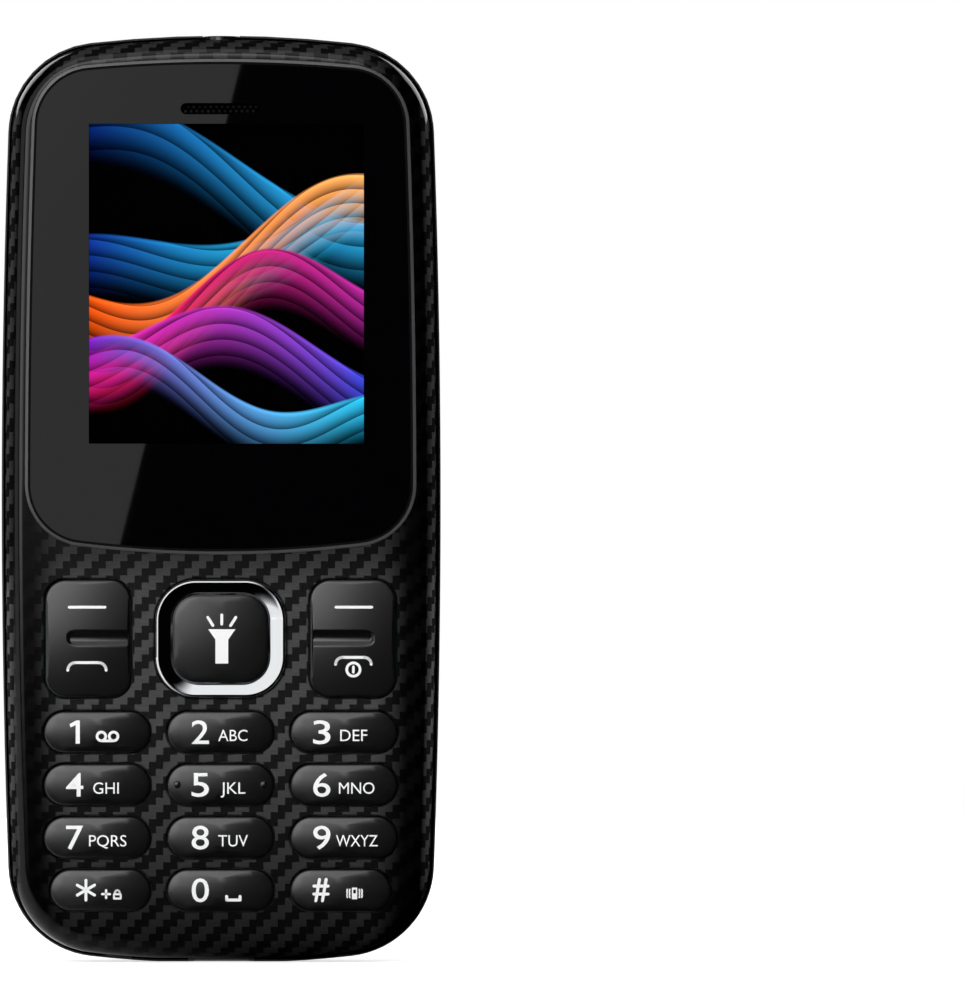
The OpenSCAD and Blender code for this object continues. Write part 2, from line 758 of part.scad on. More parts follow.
// Navigation ring, bright metal that dips towards the centre key
module nav_ring() color("#d5d7da") difference() {
  along_y(y_face - nav_proud, y_in) nav_plan(0);
  along_y(y_face - nav_proud - over, y_in + over) centre_plan(ring_clear);
  hull() {
    along_y(y_face - nav_proud - slab_t, y_face - nav_proud) nav_plan(-nav_edge);
    along_y(y_face - nav_proud + nav_dip - slab_t, y_face - nav_proud + nav_dip)
      centre_plan(ring_clear);
  }
}

// Centre key, inside the navigation ring
module centre_key() color(soft_black) union() {
  crowned_cap([0, nav_z], centre_crown_r, centre_proud) centre_plan(0);
  bar_y([0, nav_z], stem_r, y_cap - over, y_stem);
}

// Main board, notched around the screw bosses and the torch lens
module main_board() color("#1f5a3a") along_y(y_board0, y_board1) difference() {
  body_plan(rim_front + wall_t + board_gap);
  for (p = bosses) translate(p) circle(boss_r + 2 * fit);
  translate([-torch_r - port_clear, torch_z0 - port_clear]) square([2 * (torch_r + port_clear), body_h]);
}

// A pressed can or socket on the back of the main board
module board_box(x, z, w, l, h) {
  along_y(y_board1, y_board1 + h) translate([x, z]) round_rect(w, l, edge_r);
}

// Shield can over the processor
shield_in = 1.2;   // distance of the cans from the middle
shield_up = 6;     // distance of this can above the battery's middle
shield_x = shield_w / 2 + shield_in;
shield_z = battery_z0 + battery_l / 2 + shield_up;
module baseband_shield() color(steel) board_box(-shield_x, shield_z, shield_w, shield_l, shield_h);

// Shield can over the radio
radio_drop = 3;    // distance of this can below the bezel's middle
radio_gap = 0.5;   // least distance of this can from the battery connector
radio_z = max(bezel_z - radio_drop, connector_z0 + connector_l + radio_gap + shield_l / 2);
module radio_shield() color(steel) board_box(shield_x, radio_z, shield_w, shield_l, shield_h);

// Two SIM sockets, side by side under the battery
sim_in = 0.4;      // distance of the SIM sockets from the middle
sim_up = 4;        // distance of the SIM sockets above the battery's foot
window_lap = 1;    // edge of each socket left under the rear housing's floor
sim_x = sim_w / 2 + sim_in;
sim_z = battery_z0 + sim_l / 2 + sim_up;
module sim_sockets() color(steel)
  for (s = [-1, 1]) board_box(s * sim_x, sim_z, sim_w, sim_l, socket_h);

// Memory card socket under the battery
card_in = 2.2;     // distance of this socket from the middle
card_x = card_w / 2 + card_in;
module memory_card_socket() color(steel) board_box(card_x, shield_z, card_w, card_w, socket_h);

// Profile of the micro-USB socket, seen from below, narrower at its front side
usb_shoulder = 0.42;  // height of the slanted corners, as a share of the socket's height
usb_slant = 0.35;     // width of the slanted corners, as a share of the socket's height
usb_back = 1;         // closed end of the socket
usb_tongue_in = 1;    // distance of the contact tongue behind the mouth
module usb_profile(inset) {
  polygon([
    [-usb_w / 2 + inset, usb_t - inset],
    [-usb_w / 2 + inset, usb_t * usb_shoulder],
    [-usb_w / 2 + usb_t * usb_slant + inset / 2, inset],
    [usb_w / 2 - usb_t * usb_slant - inset / 2, inset],
    [usb_w / 2 - inset, usb_t * usb_shoulder],
    [usb_w / 2 - inset, usb_t - inset]
  ]);
}

// Micro-USB socket: a folded steel shell around a contact tongue
module micro_usb_socket() color(steel) translate([0, y_board1, port_sink]) union() {
  difference() {
    linear_extrude(usb_l) usb_profile(0);
    translate([0, 0, -over]) linear_extrude(usb_l - usb_back + over) usb_profile(usb_sheet);
  }
  translate([-usb_w / 4, usb_t * 0.56, usb_tongue_in])
    cube([usb_w / 2, usb_t * 0.22, usb_l - usb_tongue_in - usb_back / 2]);
}

// Headset jack with a 3.5 mm bore
module audio_jack() color(soft_black) difference() {
  union() {
    block(
      [-jack_x - jack_w / 2, y_board1, jack_z0],
      [-jack_x + jack_w / 2, y_board1 + jack_t, jack_z0 + jack_l]
    );
    bar_z(-jack_x, jack_y, jack_nose_r, port_sink, jack_z0 + over);
  }
  bar_z(-jack_x, jack_y, jack_bore_r, port_sink - over, jack_z0 + jack_l - jack_end);
}

// Microphone capsule behind its hole in the bottom end
mic_w = 3.8;
mic_l = 2.8;
mic_h = 1.2;
mic_z = rim_front + wall_t + board_gap + end_bow_r - sqrt(end_bow_r * end_bow_r - mic_x * mic_x) + mic_l;
module microphone() color(gold) board_box(mic_x, mic_z, mic_w, mic_l, mic_h);

// Vibration motor's can on its rubber foot
module vibration_motor() color(steel) difference() {
  union() {
    translate([-motor_x, motor_y, motor_z]) rotate([0, 90, 0]) cylinder(h = motor_l, r = motor_r);
    block(
      [-motor_x, y_board1, motor_z - motor_r * 0.8],
      [-motor_x + motor_l, motor_y, motor_z + motor_r * 0.8]
    );
  }
  translate([-motor_x + motor_l / 2, motor_y, motor_z]) rotate([0, 90, 0])
    cylinder(h = motor_l, r = shaft_r + touch);
}

// Eccentric weight on the motor's shaft
module vibration_weight() color("#8c8f94") union() {
  translate([-weight_x, motor_y, motor_z]) rotate([0, 90, 0]) difference() {
    cylinder(h = weight_l, r = motor_r - fit);
    translate([1.5 * shaft_r, -motor_r, -over]) cube([motor_r, 2 * motor_r, weight_l + 2 * over]);
  }
  translate([-motor_x + motor_l / 2 + fit, motor_y, motor_z]) rotate([0, 90, 0])
    cylinder(h = motor_x - weight_x + weight_l - motor_l / 2 - fit, r = shaft_r);
}

// White LED of the torch
led_l = 1.6;
led_w = 3;
module torch_led() color("#f2efdc") block(
  [-led_w / 2, y_board1, torch_z0 - touch - led_l],
  [led_w / 2, 2 * torch_y - y_board1, torch_z0 - touch]
);

// Torch lens in the top end, with a crowned face
module torch_lens() color("#dfe6ea") intersection() {
  bar_z(0, torch_y, torch_r, torch_z0, torch_z1);
  translate([0, torch_y, torch_z1 - 3 * torch_r]) sphere(3 * torch_r, $fn = crown_fn);
}

// Battery connector, standing on the main board and reaching through the rear housing
module battery_connector() color(soft_black) block(
  [-connector_w / 2, y_board1, connector_z0],
  [connector_w / 2, y_floor1 + connector_h, connector_z0 + connector_l]
);

// Three spring contacts that reach from the connector to the battery
blade_w = 0.9;
blade_pitch = connector_w / 3.4;
module battery_contacts() color(gold)
  for (k = [-1:1])
    block(
      [k * blade_pitch - blade_w / 2, y_floor1 + connector_h * 0.3, battery_z1 + fit],
      [k * blade_pitch + blade_w / 2, y_floor1 + connector_h * 0.8, connector_z0]
    );

// Battery pack
module battery_pack() color("#3e4652") along_y(y_floor1 + touch, y_floor1 + touch + battery_t)
  translate([0, (battery_z0 + battery_z1) / 2]) round_rect(battery_w, battery_l, battery_r);

// Loudspeaker, facing the back
speaker_place = [-speaker_x, bezel_z];
roll_d = 0.5;      // depth of the cone's soft surround
roll_w = 2.2;      // width of the surround
rim_w = 1.2;       // rim of the loudspeaker outside the surround
module loudspeaker() color("#2e2e31") difference() {
  bar_y(speaker_place, speaker_r, y_floor1, y_speaker1);
  along_y(y_speaker1 - roll_d, y_speaker1 + over) translate(speaker_place) difference() {
    circle(speaker_r - rim_w);
    circle(speaker_r - rim_w - roll_w);
  }
}

// Foam gasket between the loudspeaker and the cover
module speaker_gasket() color("#4a4a4d")
  along_y(y_speaker1, y_cover_in - mesh_t - fit) translate(speaker_place) difference() {
    circle(speaker_r);
    circle(speaker_r - rim_w + fit);
  }

// Mesh glued behind the speaker slots, inside the cover
module speaker_mesh() color("#5c5e60") along_y(y_cover_in - mesh_t, y_cover_in)
  translate(speaker_place) round_rect(2 * slot_pitch + 2 * slot_w, slot_l + slot_w, slot_w);

// Camera module: square base, round barrel and lens
lens_sink = 0.5;  // depth of the lens in its barrel
module camera_module() color(soft_black) difference() {
  union() {
    along_y(y_floor1, y_floor1 + cam_base_h) translate([cam_x, cam_z]) round_rect(cam_base, cam_base, edge_r);
    bar_y([cam_x, cam_z], barrel_r, y_floor1 + cam_base_h - over, y_bezel0 - fit);
  }
  bar_y([cam_x, cam_z], lens_r, y_bezel0 - fit - lens_sink, y_bezel0 + over);
}

// Flex of the camera, on the rear housing's floor
cam_flex_l = 5;
cam_flex_w = 4;
module camera_flex() color("#b5742c") along_y(y_floor1, y_floor1 + flex_t)
  translate([cam_x - cam_flex_w / 2, cam_z - cam_base / 2 - cam_flex_l]) square([cam_flex_w, cam_flex_l]);

// Outlines of the camera bezel and of its window, grown by margin on each side
module bezel_plan(margin) {
  translate([bezel_x, bezel_z])
    round_rect(bezel_w + 2 * margin, bezel_h + 2 * margin, bezel_r + margin);
}
module cam_window_plan(margin) {
  translate([cam_window_x, bezel_z])
    round_rect(cam_window_w + 2 * margin, cam_window_h + 2 * margin, bezel_r - bezel_edge + margin);
}

// Camera bezel, a turned metal plate with a seat for the window
module camera_bezel() color("#77797c") difference() {
  along_y(y_bezel0, y_bezel1) bezel_plan(0);
  along_y(y_bezel1 - cam_window_t, y_bezel1 + over) cam_window_plan(touch);
  bar_y([cam_x, cam_z], barrel_r + fit, y_bezel0 - over, y_bezel1);
}

// Camera window, black glass
module camera_window() color("#09090a") along_y(y_bezel1 - cam_window_t, y_bezel1) cam_window_plan(0);

// Antenna, a folded strip on its carrier
antenna_t = 0.2;
antenna_w = 11;
antenna_l = 8.4;
antenna_in = 2.4;    // distance of the antenna from the micro-USB socket
antenna_low = 5.2;   // distance of the antenna from the bottom end
antenna_head = 1.6;  // distance of the antenna from the cover
carrier_lap = 0.5;   // carrier beyond the antenna on each side
antenna_x = usb_w / 2 + antenna_in + antenna_w / 2;
antenna_z = antenna_low + antenna_l / 2;
y_carrier = y_cover_in - antenna_head;
strip = antenna_l / 7;
module antenna() color(gold) along_y(y_carrier, y_carrier + antenna_t)
  translate([antenna_x - antenna_w / 2, antenna_z - antenna_l / 2]) difference() {
    square([antenna_w, antenna_l]);
    for (k = [0:2])
      translate([k % 2 == 0 ? -over : strip, strip + 2 * strip * k])
        square([antenna_w - strip + over, strip]);
  }

// Rear housing: middle band, floor, battery bay and the seats of what it carries
bezel_lap = 0.3;  // bezel beyond the block that it is fixed on
module rear_housing() color("#141415") difference() {
  union() {
    along_y(y_split, y_floor1) body_ring(0, band_t);
    along_y(y_floor0, y_floor1) body_plan(band_t - over);
    along_y(y_floor1 - over, y_floor1 + tongue_h)
      body_ring(rim_back + cover_t + fit + touch, rim_back + cover_t + fit + touch + tongue_t);
    along_y(y_floor1 - over, y_floor1 + bay_h) translate([0, (battery_z0 + battery_z1) / 2])
      square(
        [battery_w, battery_l] + 2 * (battery_play + bay_wall) * [1, 1],
        center = true
      );
    for (p = bosses) bar_y(p, post_r, y_floor0, y_post);
    bar_y(speaker_place, speaker_r + fit + speaker_wall, y_floor1 - over, y_speaker1);
    along_y(y_floor1 - over, y_bezel0) bezel_plan(-bezel_lap);
    along_y(y_floor1 - over, y_carrier) intersection() {
      translate([antenna_x, antenna_z])
        square([antenna_w, antenna_l] + 2 * carrier_lap * [1, 1], center = true);
      body_plan(back_round_w * 0.6);
    }
  }
  along_y(y_floor1, y_cover_in) translate([0, (battery_z0 + battery_z1) / 2])
    square([battery_w, battery_l] + 2 * battery_play * [1, 1], center = true);
  for (p = bosses) {
    bar_y(p, screw_r + fit, y_floor0 - over, y_post + over);
    bar_y(p, screw_head_r + fit, y_screw, y_cover_in);
  }
  bar_y(speaker_place, speaker_r + fit, y_floor1, y_speaker1 + over);
  along_y(y_floor1, y_bezel0 + over) translate([cam_x, cam_z])
    square((cam_base + 2 * fit) * [1, 1], center = true);
  along_y(y_floor1, y_bezel0 + over)
    translate([cam_x - cam_flex_w / 2 - fit, cam_z - cam_base / 2 - cam_flex_l - fit])
      square([cam_flex_w + 2 * fit, cam_flex_l + cam_base / 2]);
  for (s = [-1, 1])
    along_y(y_split, y_floor1 + over) translate([s * sim_x, sim_z])
      square([sim_w, sim_l] - 2 * window_lap * [1, 1], center = true);
  along_y(y_split, y_floor1 + over) translate([card_x, shield_z])
    square((card_w - 2 * window_lap) * [1, 1], center = true);
  block(
    [-connector_w / 2 - fit, y_split, battery_z1],
    [connector_w / 2 + fit, y_cover_in, connector_z0 + connector_l + fit]
  );
  block(
    [-motor_x - 2 * fit, y_split, motor_z - motor_r - 2 * fit],
    [-weight_x + weight_l + 4 * fit, y_cover_in, motor_z + motor_r + 2 * fit]
  );
  block(
    [-led_w / 2 - 2 * fit, y_split, torch_z0 - led_l - 3 * fit],
    [led_w / 2 + 2 * fit, y_floor1 + torch_r, torch_z0]
  );
  block(
    [-jack_x - jack_w / 2 - fit, y_split - over, jack_z0 - fit],
    [-jack_x + jack_w / 2 + fit, y_cover_in, jack_z0 + jack_l + fit]
  );
  bar_z(mic_x, (y_split + y_floor0) / 2, mic_hole_r, -over, mic_z - mic_l / 2);
  port_openings();
}

// Six screws that clamp the rear housing to the front housing, with crossed slots
cross_l = 1.4 * screw_head_r;
cross_w = 0.3 * screw_head_r;
module housing_screws() color("#9a9da1") for (p = bosses) difference() {
  union() {
    bar_y(p, screw_head_r, y_screw, y_screw + screw_head_t);
    bar_y(p, screw_r, y_floor0 - screw_bite, y_screw + touch);
  }
  along_y(y_screw + screw_head_t / 2, y_screw + screw_head_t + over) translate(p) {
    square([cross_l, cross_w], center = true);
    square([cross_w, cross_l], center = true);
  }
}

// Battery cover: the patterned back shell with the camera opening and the speaker slots
module battery_cover() color(carbon) difference() {
  hull() {
    along_y(y_floor1, y_back - back_round_d) body_plan(rim_back);
    for (k = [1:round_steps])
      layer(
        y_back - slab_t - (back_round_d - slab_t) * (1 - sin(90 * k / round_steps)),
        rim_back + back_round_w * (1 - cos(90 * k / round_steps))
      );
  }
  hull() {
    along_y(y_floor1 - over, y_back - back_round_d) body_plan(rim_back + cover_t);
    for (k = [1:round_steps])
      layer(
        y_cover_in - slab_t - (back_round_d - cover_t - slab_t) * (1 - sin(90 * k / round_steps)),
        rim_back + cover_t + (back_round_w - cover_t) * (1 - cos(90 * k / round_steps))
      );
  }
  along_y(y_cover_in - over, y_back + over) bezel_plan(bezel_clear);
  for (k = [-1:1])
    along_y(y_cover_in - over, y_back + over) translate([-speaker_x + k * slot_pitch, bezel_z])
      rotate(90) pill(slot_l, slot_w);
  along_y(y_back - bezel_sink - plate_t, y_back + over) translate([0, plate_z])
    round_rect(plate_w + 2 * touch, plate_h + 2 * touch, edge_r + touch);
  port_openings();
}

// Name plate, a bare smooth plate set into the cover
module name_plate() color("#4a4a4b") along_y(y_back - bezel_sink - plate_t, y_back - bezel_sink)
  translate([0, plate_z]) round_rect(plate_w, plate_h, edge_r);

front_housing();
display_window();
window_adhesive();
earpiece_mesh();
earpiece_receiver();
lcd_panel();
lcd_backlight();
lcd_flex();
key_mat();
dome_sheet();
number_key(0);  // key_1
number_key(1);  // key_2
number_key(2);  // key_3
number_key(3);  // key_4
middle_key();  // key_5
number_key(5);  // key_6
number_key(6);  // key_7
number_key(7);  // key_8
number_key(8);  // key_9
number_key(9);  // key_star
number_key(10);  // key_0
number_key(11);  // key_hash
rocker_key(-1);  // left_rocker_key
rocker_key(1);  // right_rocker_key
nav_frame();
nav_ring();
centre_key();
main_board();
baseband_shield();
radio_shield();
sim_sockets();
memory_card_socket();
micro_usb_socket();
audio_jack();
microphone();
vibration_motor();
vibration_weight();
torch_led();
torch_lens();
battery_connector();
battery_contacts();
battery_pack();
loudspeaker();
speaker_gasket();
camera_module();
camera_flex();
camera_bezel();
camera_window();
antenna();
rear_housing();
housing_screws();
battery_cover();
speaker_mesh();
name_plate();
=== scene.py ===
import math

import bmesh
import bpy
import numpy as np
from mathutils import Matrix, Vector, geometry


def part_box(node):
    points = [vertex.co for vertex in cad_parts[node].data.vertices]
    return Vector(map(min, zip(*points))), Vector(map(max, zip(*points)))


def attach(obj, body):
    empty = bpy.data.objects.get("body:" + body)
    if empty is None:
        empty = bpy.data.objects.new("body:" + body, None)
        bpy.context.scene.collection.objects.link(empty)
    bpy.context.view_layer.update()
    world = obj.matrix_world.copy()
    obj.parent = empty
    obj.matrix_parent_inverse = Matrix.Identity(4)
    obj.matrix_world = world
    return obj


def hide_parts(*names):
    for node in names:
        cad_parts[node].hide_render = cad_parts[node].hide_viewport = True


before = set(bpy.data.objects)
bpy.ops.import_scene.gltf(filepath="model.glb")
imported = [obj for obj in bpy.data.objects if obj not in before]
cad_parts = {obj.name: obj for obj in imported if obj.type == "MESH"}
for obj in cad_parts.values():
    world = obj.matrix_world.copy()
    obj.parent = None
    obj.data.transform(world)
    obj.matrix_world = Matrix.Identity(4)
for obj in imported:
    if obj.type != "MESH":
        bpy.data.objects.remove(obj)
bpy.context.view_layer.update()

# Front housing
# An ABS moulding with a carbon weave transferred on and a gloss lacquer over it. It holds the
# window in a seat and the keys in openings, and six screws clamp it to the rear housing.
MM = 0.001
BODY_H = 111.33          # length of the phone
SIDE_BOW, END_BOW = 1230, 141
CORNER_R = 11.1
FOOT_W = 16              # flat that the phone stands on
RIM_FRONT = 0.5          # step from the middle band in to this shell
ROUND_W, ROUND_D = 2.2, 3.0
FACE_WALL = 1.5
WINDOW_R, WINDOW_BOW = 7.4, 175
KEY_GAP, WINDOW_GAP = 0.18, 0.05
LIP = 0.12               # chamfer around each opening
KEYS = ["1", "2", "3", "4", "5", "6", "7", "8", "9", "star", "0", "hash"]
KEY_R = {"left_rocker_key": 2.5, "right_rocker_key": 2.5, "nav_ring": 4.9, "centre_key": 3.0}
TORCH_HOLE, JACK_HOLE, MIC_HOLE = 2.4, 1.85, 0.5        # radii of the openings in the ends
USB_ROUND, USB_INSET = 0.6, 0.4
Y_FLOOR = -0.4           # front of the rear housing's floor
TORCH_DEEP, SOCKET_DEEP, USB_DEEP, OVER = 5, 3, 4, 2    # how deep these go, and how far out
TOW = 0.86               # width of one flat bundle of fibres
SIDE_SHADE_DARK, SIDE_SHADE_CLEAR = 3.4, 8.2         # painted shade and a painted rim highlight on the weave, in from the outline
RIM_HIGHLIGHT_START, RIM_HIGHLIGHT_PEAK, RIM_HIGHLIGHT_END = 1.7, 0.7, 0.52
BACK_SHADE_CLEAR = 11
FOOT_SHADE_DARK, FOOT_SHADE_CLEAR = 2, 28            # and up from the foot
HEAD_SHADE_DARK, HEAD_SHADE_CLEAR = 49, 44


def millimetres(node):
    """Lowest and highest corner of a frame node, in millimetres."""
    return [np.array(corner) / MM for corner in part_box(node)]


def middle(node):
    """Middle, width and height of a frame node seen from the front."""
    low, high = millimetres(node)
    return (low + high)[[0, 2]] / 2, *(high - low)[[0, 2]]


body_w = middle("rear_housing")[1]
y_face = millimetres("display_window")[0][1]
y_split = millimetres("rear_housing")[0][1]
y_inner = millimetres("lcd_panel")[0][1]


def bowed_outline(half_w, side_z, top, top_bow, foot, corner, inset):
    """Outline with bowed sides and ends and round corners: points in x and z, and the way out."""
    side = np.array([half_w - SIDE_BOW, side_z])
    arcs, angle = [], {}
    for s, end_z, bow in ((-1, foot, END_BOW), (1, top, top_bow)):
        end = np.array([0, end_z - s * bow])
        gap = end - side
        d = np.hypot(*gap)
        along = ((SIDE_BOW - corner) ** 2 - (bow - corner) ** 2 + d * d) / (2 * d)
        off = s * math.sqrt((SIDE_BOW - corner) ** 2 - along * along)
        mid = side + (gap * along + np.array([-gap[1], gap[0]]) * off) / d
        on_side = math.atan2(*(mid - side)[::-1])
        on_end = math.atan2(*(mid - end)[::-1])
        angle[s] = on_side
        pair = [(end, bow, s * math.pi / 2, on_end, 10), (mid, corner, on_end, on_side, 16)]
        arcs += pair if s < 0 else [(c, r, b, a, n) for c, r, a, b, n in pair[::-1]]
    arcs.insert(2, (side, SIDE_BOW, angle[-1], angle[1], 40))
    turns = [(c, r, t) for c, r, a, b, n in arcs for t in np.linspace(a, b, n, endpoint=False)]
    turns.append((arcs[-1][0], top_bow, math.pi / 2))
    ways = np.array([(math.cos(t), math.sin(t)) for _, _, t in turns])
    points = np.array([c for c, _, _ in turns]) + ways * (np.array([[r] for _, r, _ in turns]) - inset)
    flip = np.array([-1, 1])
    return np.vstack([points, points[-2:0:-1] * flip]), np.vstack([ways, ways[-2:0:-1] * flip])


def body_outline(inset):
    """The phone's own outline, whose bottom bow is cut flat."""
    drop = END_BOW - math.sqrt(END_BOW**2 - FOOT_W**2 / 4)
    points, ways = bowed_outline(body_w / 2, (BODY_H - drop) / 2, BODY_H, END_BOW, -drop, CORNER_R, inset)
    points[:, 1] = np.maximum(points[:, 1], inset)
    return points, ways


def body_loop(inset):
    """The points of the phone's own outline."""
    return body_outline(inset)[0]


window_w = middle("display_window")[1]
window_low, window_high = millimetres("display_window")


def window_outline(inset):
    """The display window's outline, whose sides follow the phone's."""
    side_z = body_loop(0)[:, 1].max() / 2
    foot, top = window_low[2], window_high[2]
    return bowed_outline(window_w / 2, side_z, top, WINDOW_BOW, foot, WINDOW_R, inset)[0]


def round_rect(mid, width, height, radius, grow=0.0, steps=12, step=0.6):
    """Rectangle with round corners, grown on each side, with a point one step along each side."""
    half = np.array([width, height]) / 2 - radius
    radius = max(radius + grow, 1e-3)
    corners = [half * s for s in ((1, 1), (-1, 1), (-1, -1), (1, -1))]
    points = []
    for k, corner in enumerate(corners):
        for t in np.radians(np.linspace(90 * k, 90 * k + 90, steps + 1)):
            points.append(corner + radius * np.array([math.cos(t), math.sin(t)]))
        move = corners[(k + 1) % 4] - corner
        parts = int(round(np.hypot(*move) / step))
        if parts > 1:
            points.append(points[-1] + move / parts)
    return np.array(points) + mid


def key_outline(node, grow):
    """Outline of a key's cap: a pill for a number key, a rounded square for the others."""
    mid, w, h = middle(node)
    return round_rect(mid, w, h, KEY_R.get(node, h / 2), grow, 16)


def at_depth(points, y):
    """Front-view points at one depth, or at a depth each."""
    return np.column_stack([points[:, 0], np.broadcast_to(y, len(points)), points[:, 1]])


def ring(bm, points):
    """Adds points given in millimetres."""
    return [bm.verts.new(p * MM) for p in np.asarray(points)]


def bridge(bm, *rings):
    """Joins rings of equal count with bands of faces."""
    for a, b in zip(rings, rings[1:]):
        for k in range(len(a)):
            n = (k + 1) % len(a)
            bm.faces.new((a[k], a[n], b[n], b[k]))


def stack(bm, outline, profile):
    """Rings of an outline at each offset and depth of a profile, joined by bands of faces."""
    rings = [ring(bm, at_depth(outline(offset), y)) for offset, y in profile]
    bridge(bm, *rings)
    return rings


def within(points, loop):
    """Which of the points lie inside a closed loop."""
    x, z = points[:, 0][:, None], points[:, 1][:, None]
    ax, az = loop[:, 0], loop[:, 1]
    bx, bz = np.roll(ax, -1), np.roll(az, -1)
    crosses = (az > z) != (bz > z)
    with np.errstate(divide="ignore", invalid="ignore"):
        left = x < (bx - ax) * (z - az) / (bz - az) + ax
    return (crosses & left).sum(1) % 2 == 1


def fill(bm, outer, holes=(), inner=()):
    """Fills the front view between an outer ring and its holes, over loose inner points."""
    loops = [outer, *holes]
    verts = [v for loop in loops for v in loop] + list(inner)
    flat = np.array([(v.co.x, v.co.z) for v in verts]) / MM
    edges, first = [], 0
    for loop in loops:
        edges += [(first + k, first + (k + 1) % len(loop)) for k in range(len(loop))]
        first += len(loop)
    made = geometry.delaunay_2d_cdt([Vector(p) for p in flat], edges, [], 1, 1e-7)
    back = [old[0] for old in made[3]]
    faces = [[back[k] for k in face] for face in made[2]]
    if not faces:
        return
    centres = np.array([flat[f].mean(0) for f in faces])
    keep = within(centres, flat[: len(outer)])
    first = len(outer)
    for loop in holes:
        keep &= ~within(centres, flat[first : first + len(loop)])
        first += len(loop)
    for f, kept in zip(faces, keep):
        if kept:
            bm.faces.new([verts[k] for k in f])


def solid(bm, name, sharp=35):
    """Turns a finished mesh into an object, smooth up to the sharp angle."""
    bmesh.ops.remove_doubles(bm, verts=bm.verts, dist=1e-8)
    bmesh.ops.recalc_face_normals(bm, faces=bm.faces)
    mesh = bpy.data.meshes.new(name)
    bm.to_mesh(mesh)
    bm.free()
    mesh.shade_smooth()
    mesh.set_sharp_from_angle(angle=math.radians(sharp))
    obj = bpy.data.objects.new(name, mesh)
    bpy.context.scene.collection.objects.link(obj)
    return obj


def hang(obj, material, body, slot, *nodes):
    """Gives a piece its material, evens its shading, and hangs it on its body."""
    obj.data.materials.clear()
    obj.data.materials.append(material)
    obj.modifiers.new("even shading", "WEIGHTED_NORMAL").keep_sharp = True
    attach(obj, body)
    if nodes:
        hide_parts(*nodes)


def tint(code):
    """An sRGB hex colour as linear red, green, blue and alpha."""
    parts = [int(code[k : k + 2], 16) / 255 for k in (1, 3, 5)]
    return [p / 12.92 if p <= 0.04045 else ((p + 0.055) / 1.055) ** 2.4 for p in parts] + [1.0]


def add(tree, kind, inputs=None, **settings):
    """Adds a node: inputs maps a socket to a number, colour, node or socket."""
    node = tree.nodes.new(kind)
    for key, value in settings.items():
        setattr(node, key, value)
    for key, value in (inputs or {}).items():
        if isinstance(value, bpy.types.Node):
            value = value.outputs[0]
        if isinstance(value, bpy.types.NodeSocket):
            tree.links.new(value, node.inputs[key])
        else:
            node.inputs[key].default_value = value
    return node


def surface(name, colour, size, bump, rough, spread, **sockets):
    """A material whose grain, size in mm, raises the surface and varies its roughness."""
    made = bpy.data.materials.new(name)
    made.use_nodes = True
    tree = made.node_tree
    shader = tree.nodes["Principled BSDF"]
    shader.inputs["Base Color"].default_value = tint(colour)
    for key, value in sockets.items():
        shader.inputs[key.replace("_", " ")].default_value = value
    place = add(tree, "ShaderNodeTexCoord").outputs["Object"]
    noise = add(tree, "ShaderNodeTexNoise", {"Vector": place, "Scale": 1 / (size * MM), "Detail": 3.0})
    level = add(tree, "ShaderNodeMapRange", {0: noise, 3: rough - spread, 4: rough + spread})
    tree.links.new(level.outputs[0], shader.inputs["Roughness"])
    if bump:
        raised = add(tree, "ShaderNodeBump", {"Strength": bump, "Distance": size * MM / 4, "Height": noise})
        tree.links.new(raised.outputs[0], shader.inputs["Normal"])
    return made, tree, shader


# Gloss lacquer over a printed carbon twill: each flat tow passes over two and under two, so dark
# lengthwise floats climb to the right between lighter crosswise ones. Painted shade darkens the
# weave towards the foot, the window and the sides of the front and towards the back's flanks, and a
# painted highlight lightens it on the front's rim.
weave, tree, shader = surface("gloss lacquer over carbon twill", "#303030", 0.5, 0.0, 0.1, 0.03,
                              Specular_IOR_Level=0.25)
uv = add(tree, "ShaderNodeUVMap", uv_map="weave")
wander = add(tree, "ShaderNodeTexNoise", {"Vector": uv, "Scale": 3.0, "Detail": 2.0}).outputs["Color"]
wander = add(tree, "ShaderNodeVectorMath", {0: wander, 1: (0.5, 0.5, 0.5)}, operation="SUBTRACT")
wander = add(tree, "ShaderNodeVectorMath", {0: wander, "Scale": 0.1}, operation="SCALE")
moved = add(tree, "ShaderNodeVectorMath", {0: uv, 1: wander}, operation="ADD")
tows = add(tree, "ShaderNodeVectorMath", {0: moved, "Scale": 1 / TOW}, operation="SCALE")
cell = add(tree, "ShaderNodeVectorMath", {0: tows}, operation="FLOOR")
cell = add(tree, "ShaderNodeSeparateXYZ", {0: cell})
step = add(tree, "ShaderNodeMath", {0: cell.outputs[1], 1: cell.outputs[0]}, operation="SUBTRACT")
step = add(tree, "ShaderNodeMath", {0: step, 1: 4.0}, operation="FLOORED_MODULO")
across = add(tree, "ShaderNodeMath", {0: step, 1: 1.5}, operation="GREATER_THAN")
long_grain = add(tree, "ShaderNodeVectorMath", {0: uv, 1: (14.0, 0.7, 1.0)}, operation="MULTIPLY")
cross_grain = add(tree, "ShaderNodeVectorMath", {0: uv, 1: (0.7, 14.0, 1.0)}, operation="MULTIPLY")
fibres = add(tree, "ShaderNodeMix", {0: across, 4: long_grain, 5: cross_grain}, data_type="VECTOR")
fibres = add(tree, "ShaderNodeTexNoise", {"Vector": fibres.outputs[1], "Scale": 1.0, "Detail": 3.0})
shade = add(tree, "ShaderNodeMapRange", {0: fibres, 1: 0.3, 2: 0.7, 3: 0.75, 4: 1.25})
place = add(tree, "ShaderNodeTexCoord").outputs["Object"]
place = add(tree, "ShaderNodeSeparateXYZ", {0: place})
rise = add(tree, "ShaderNodeMath", {0: place.outputs[2], 1: BODY_H / 2 * MM}, operation="SUBTRACT")
bow = add(tree, "ShaderNodeMath", {0: rise, 1: rise}, operation="MULTIPLY")
aside = add(tree, "ShaderNodeMath", {0: place.outputs[0]}, operation="ABSOLUTE")
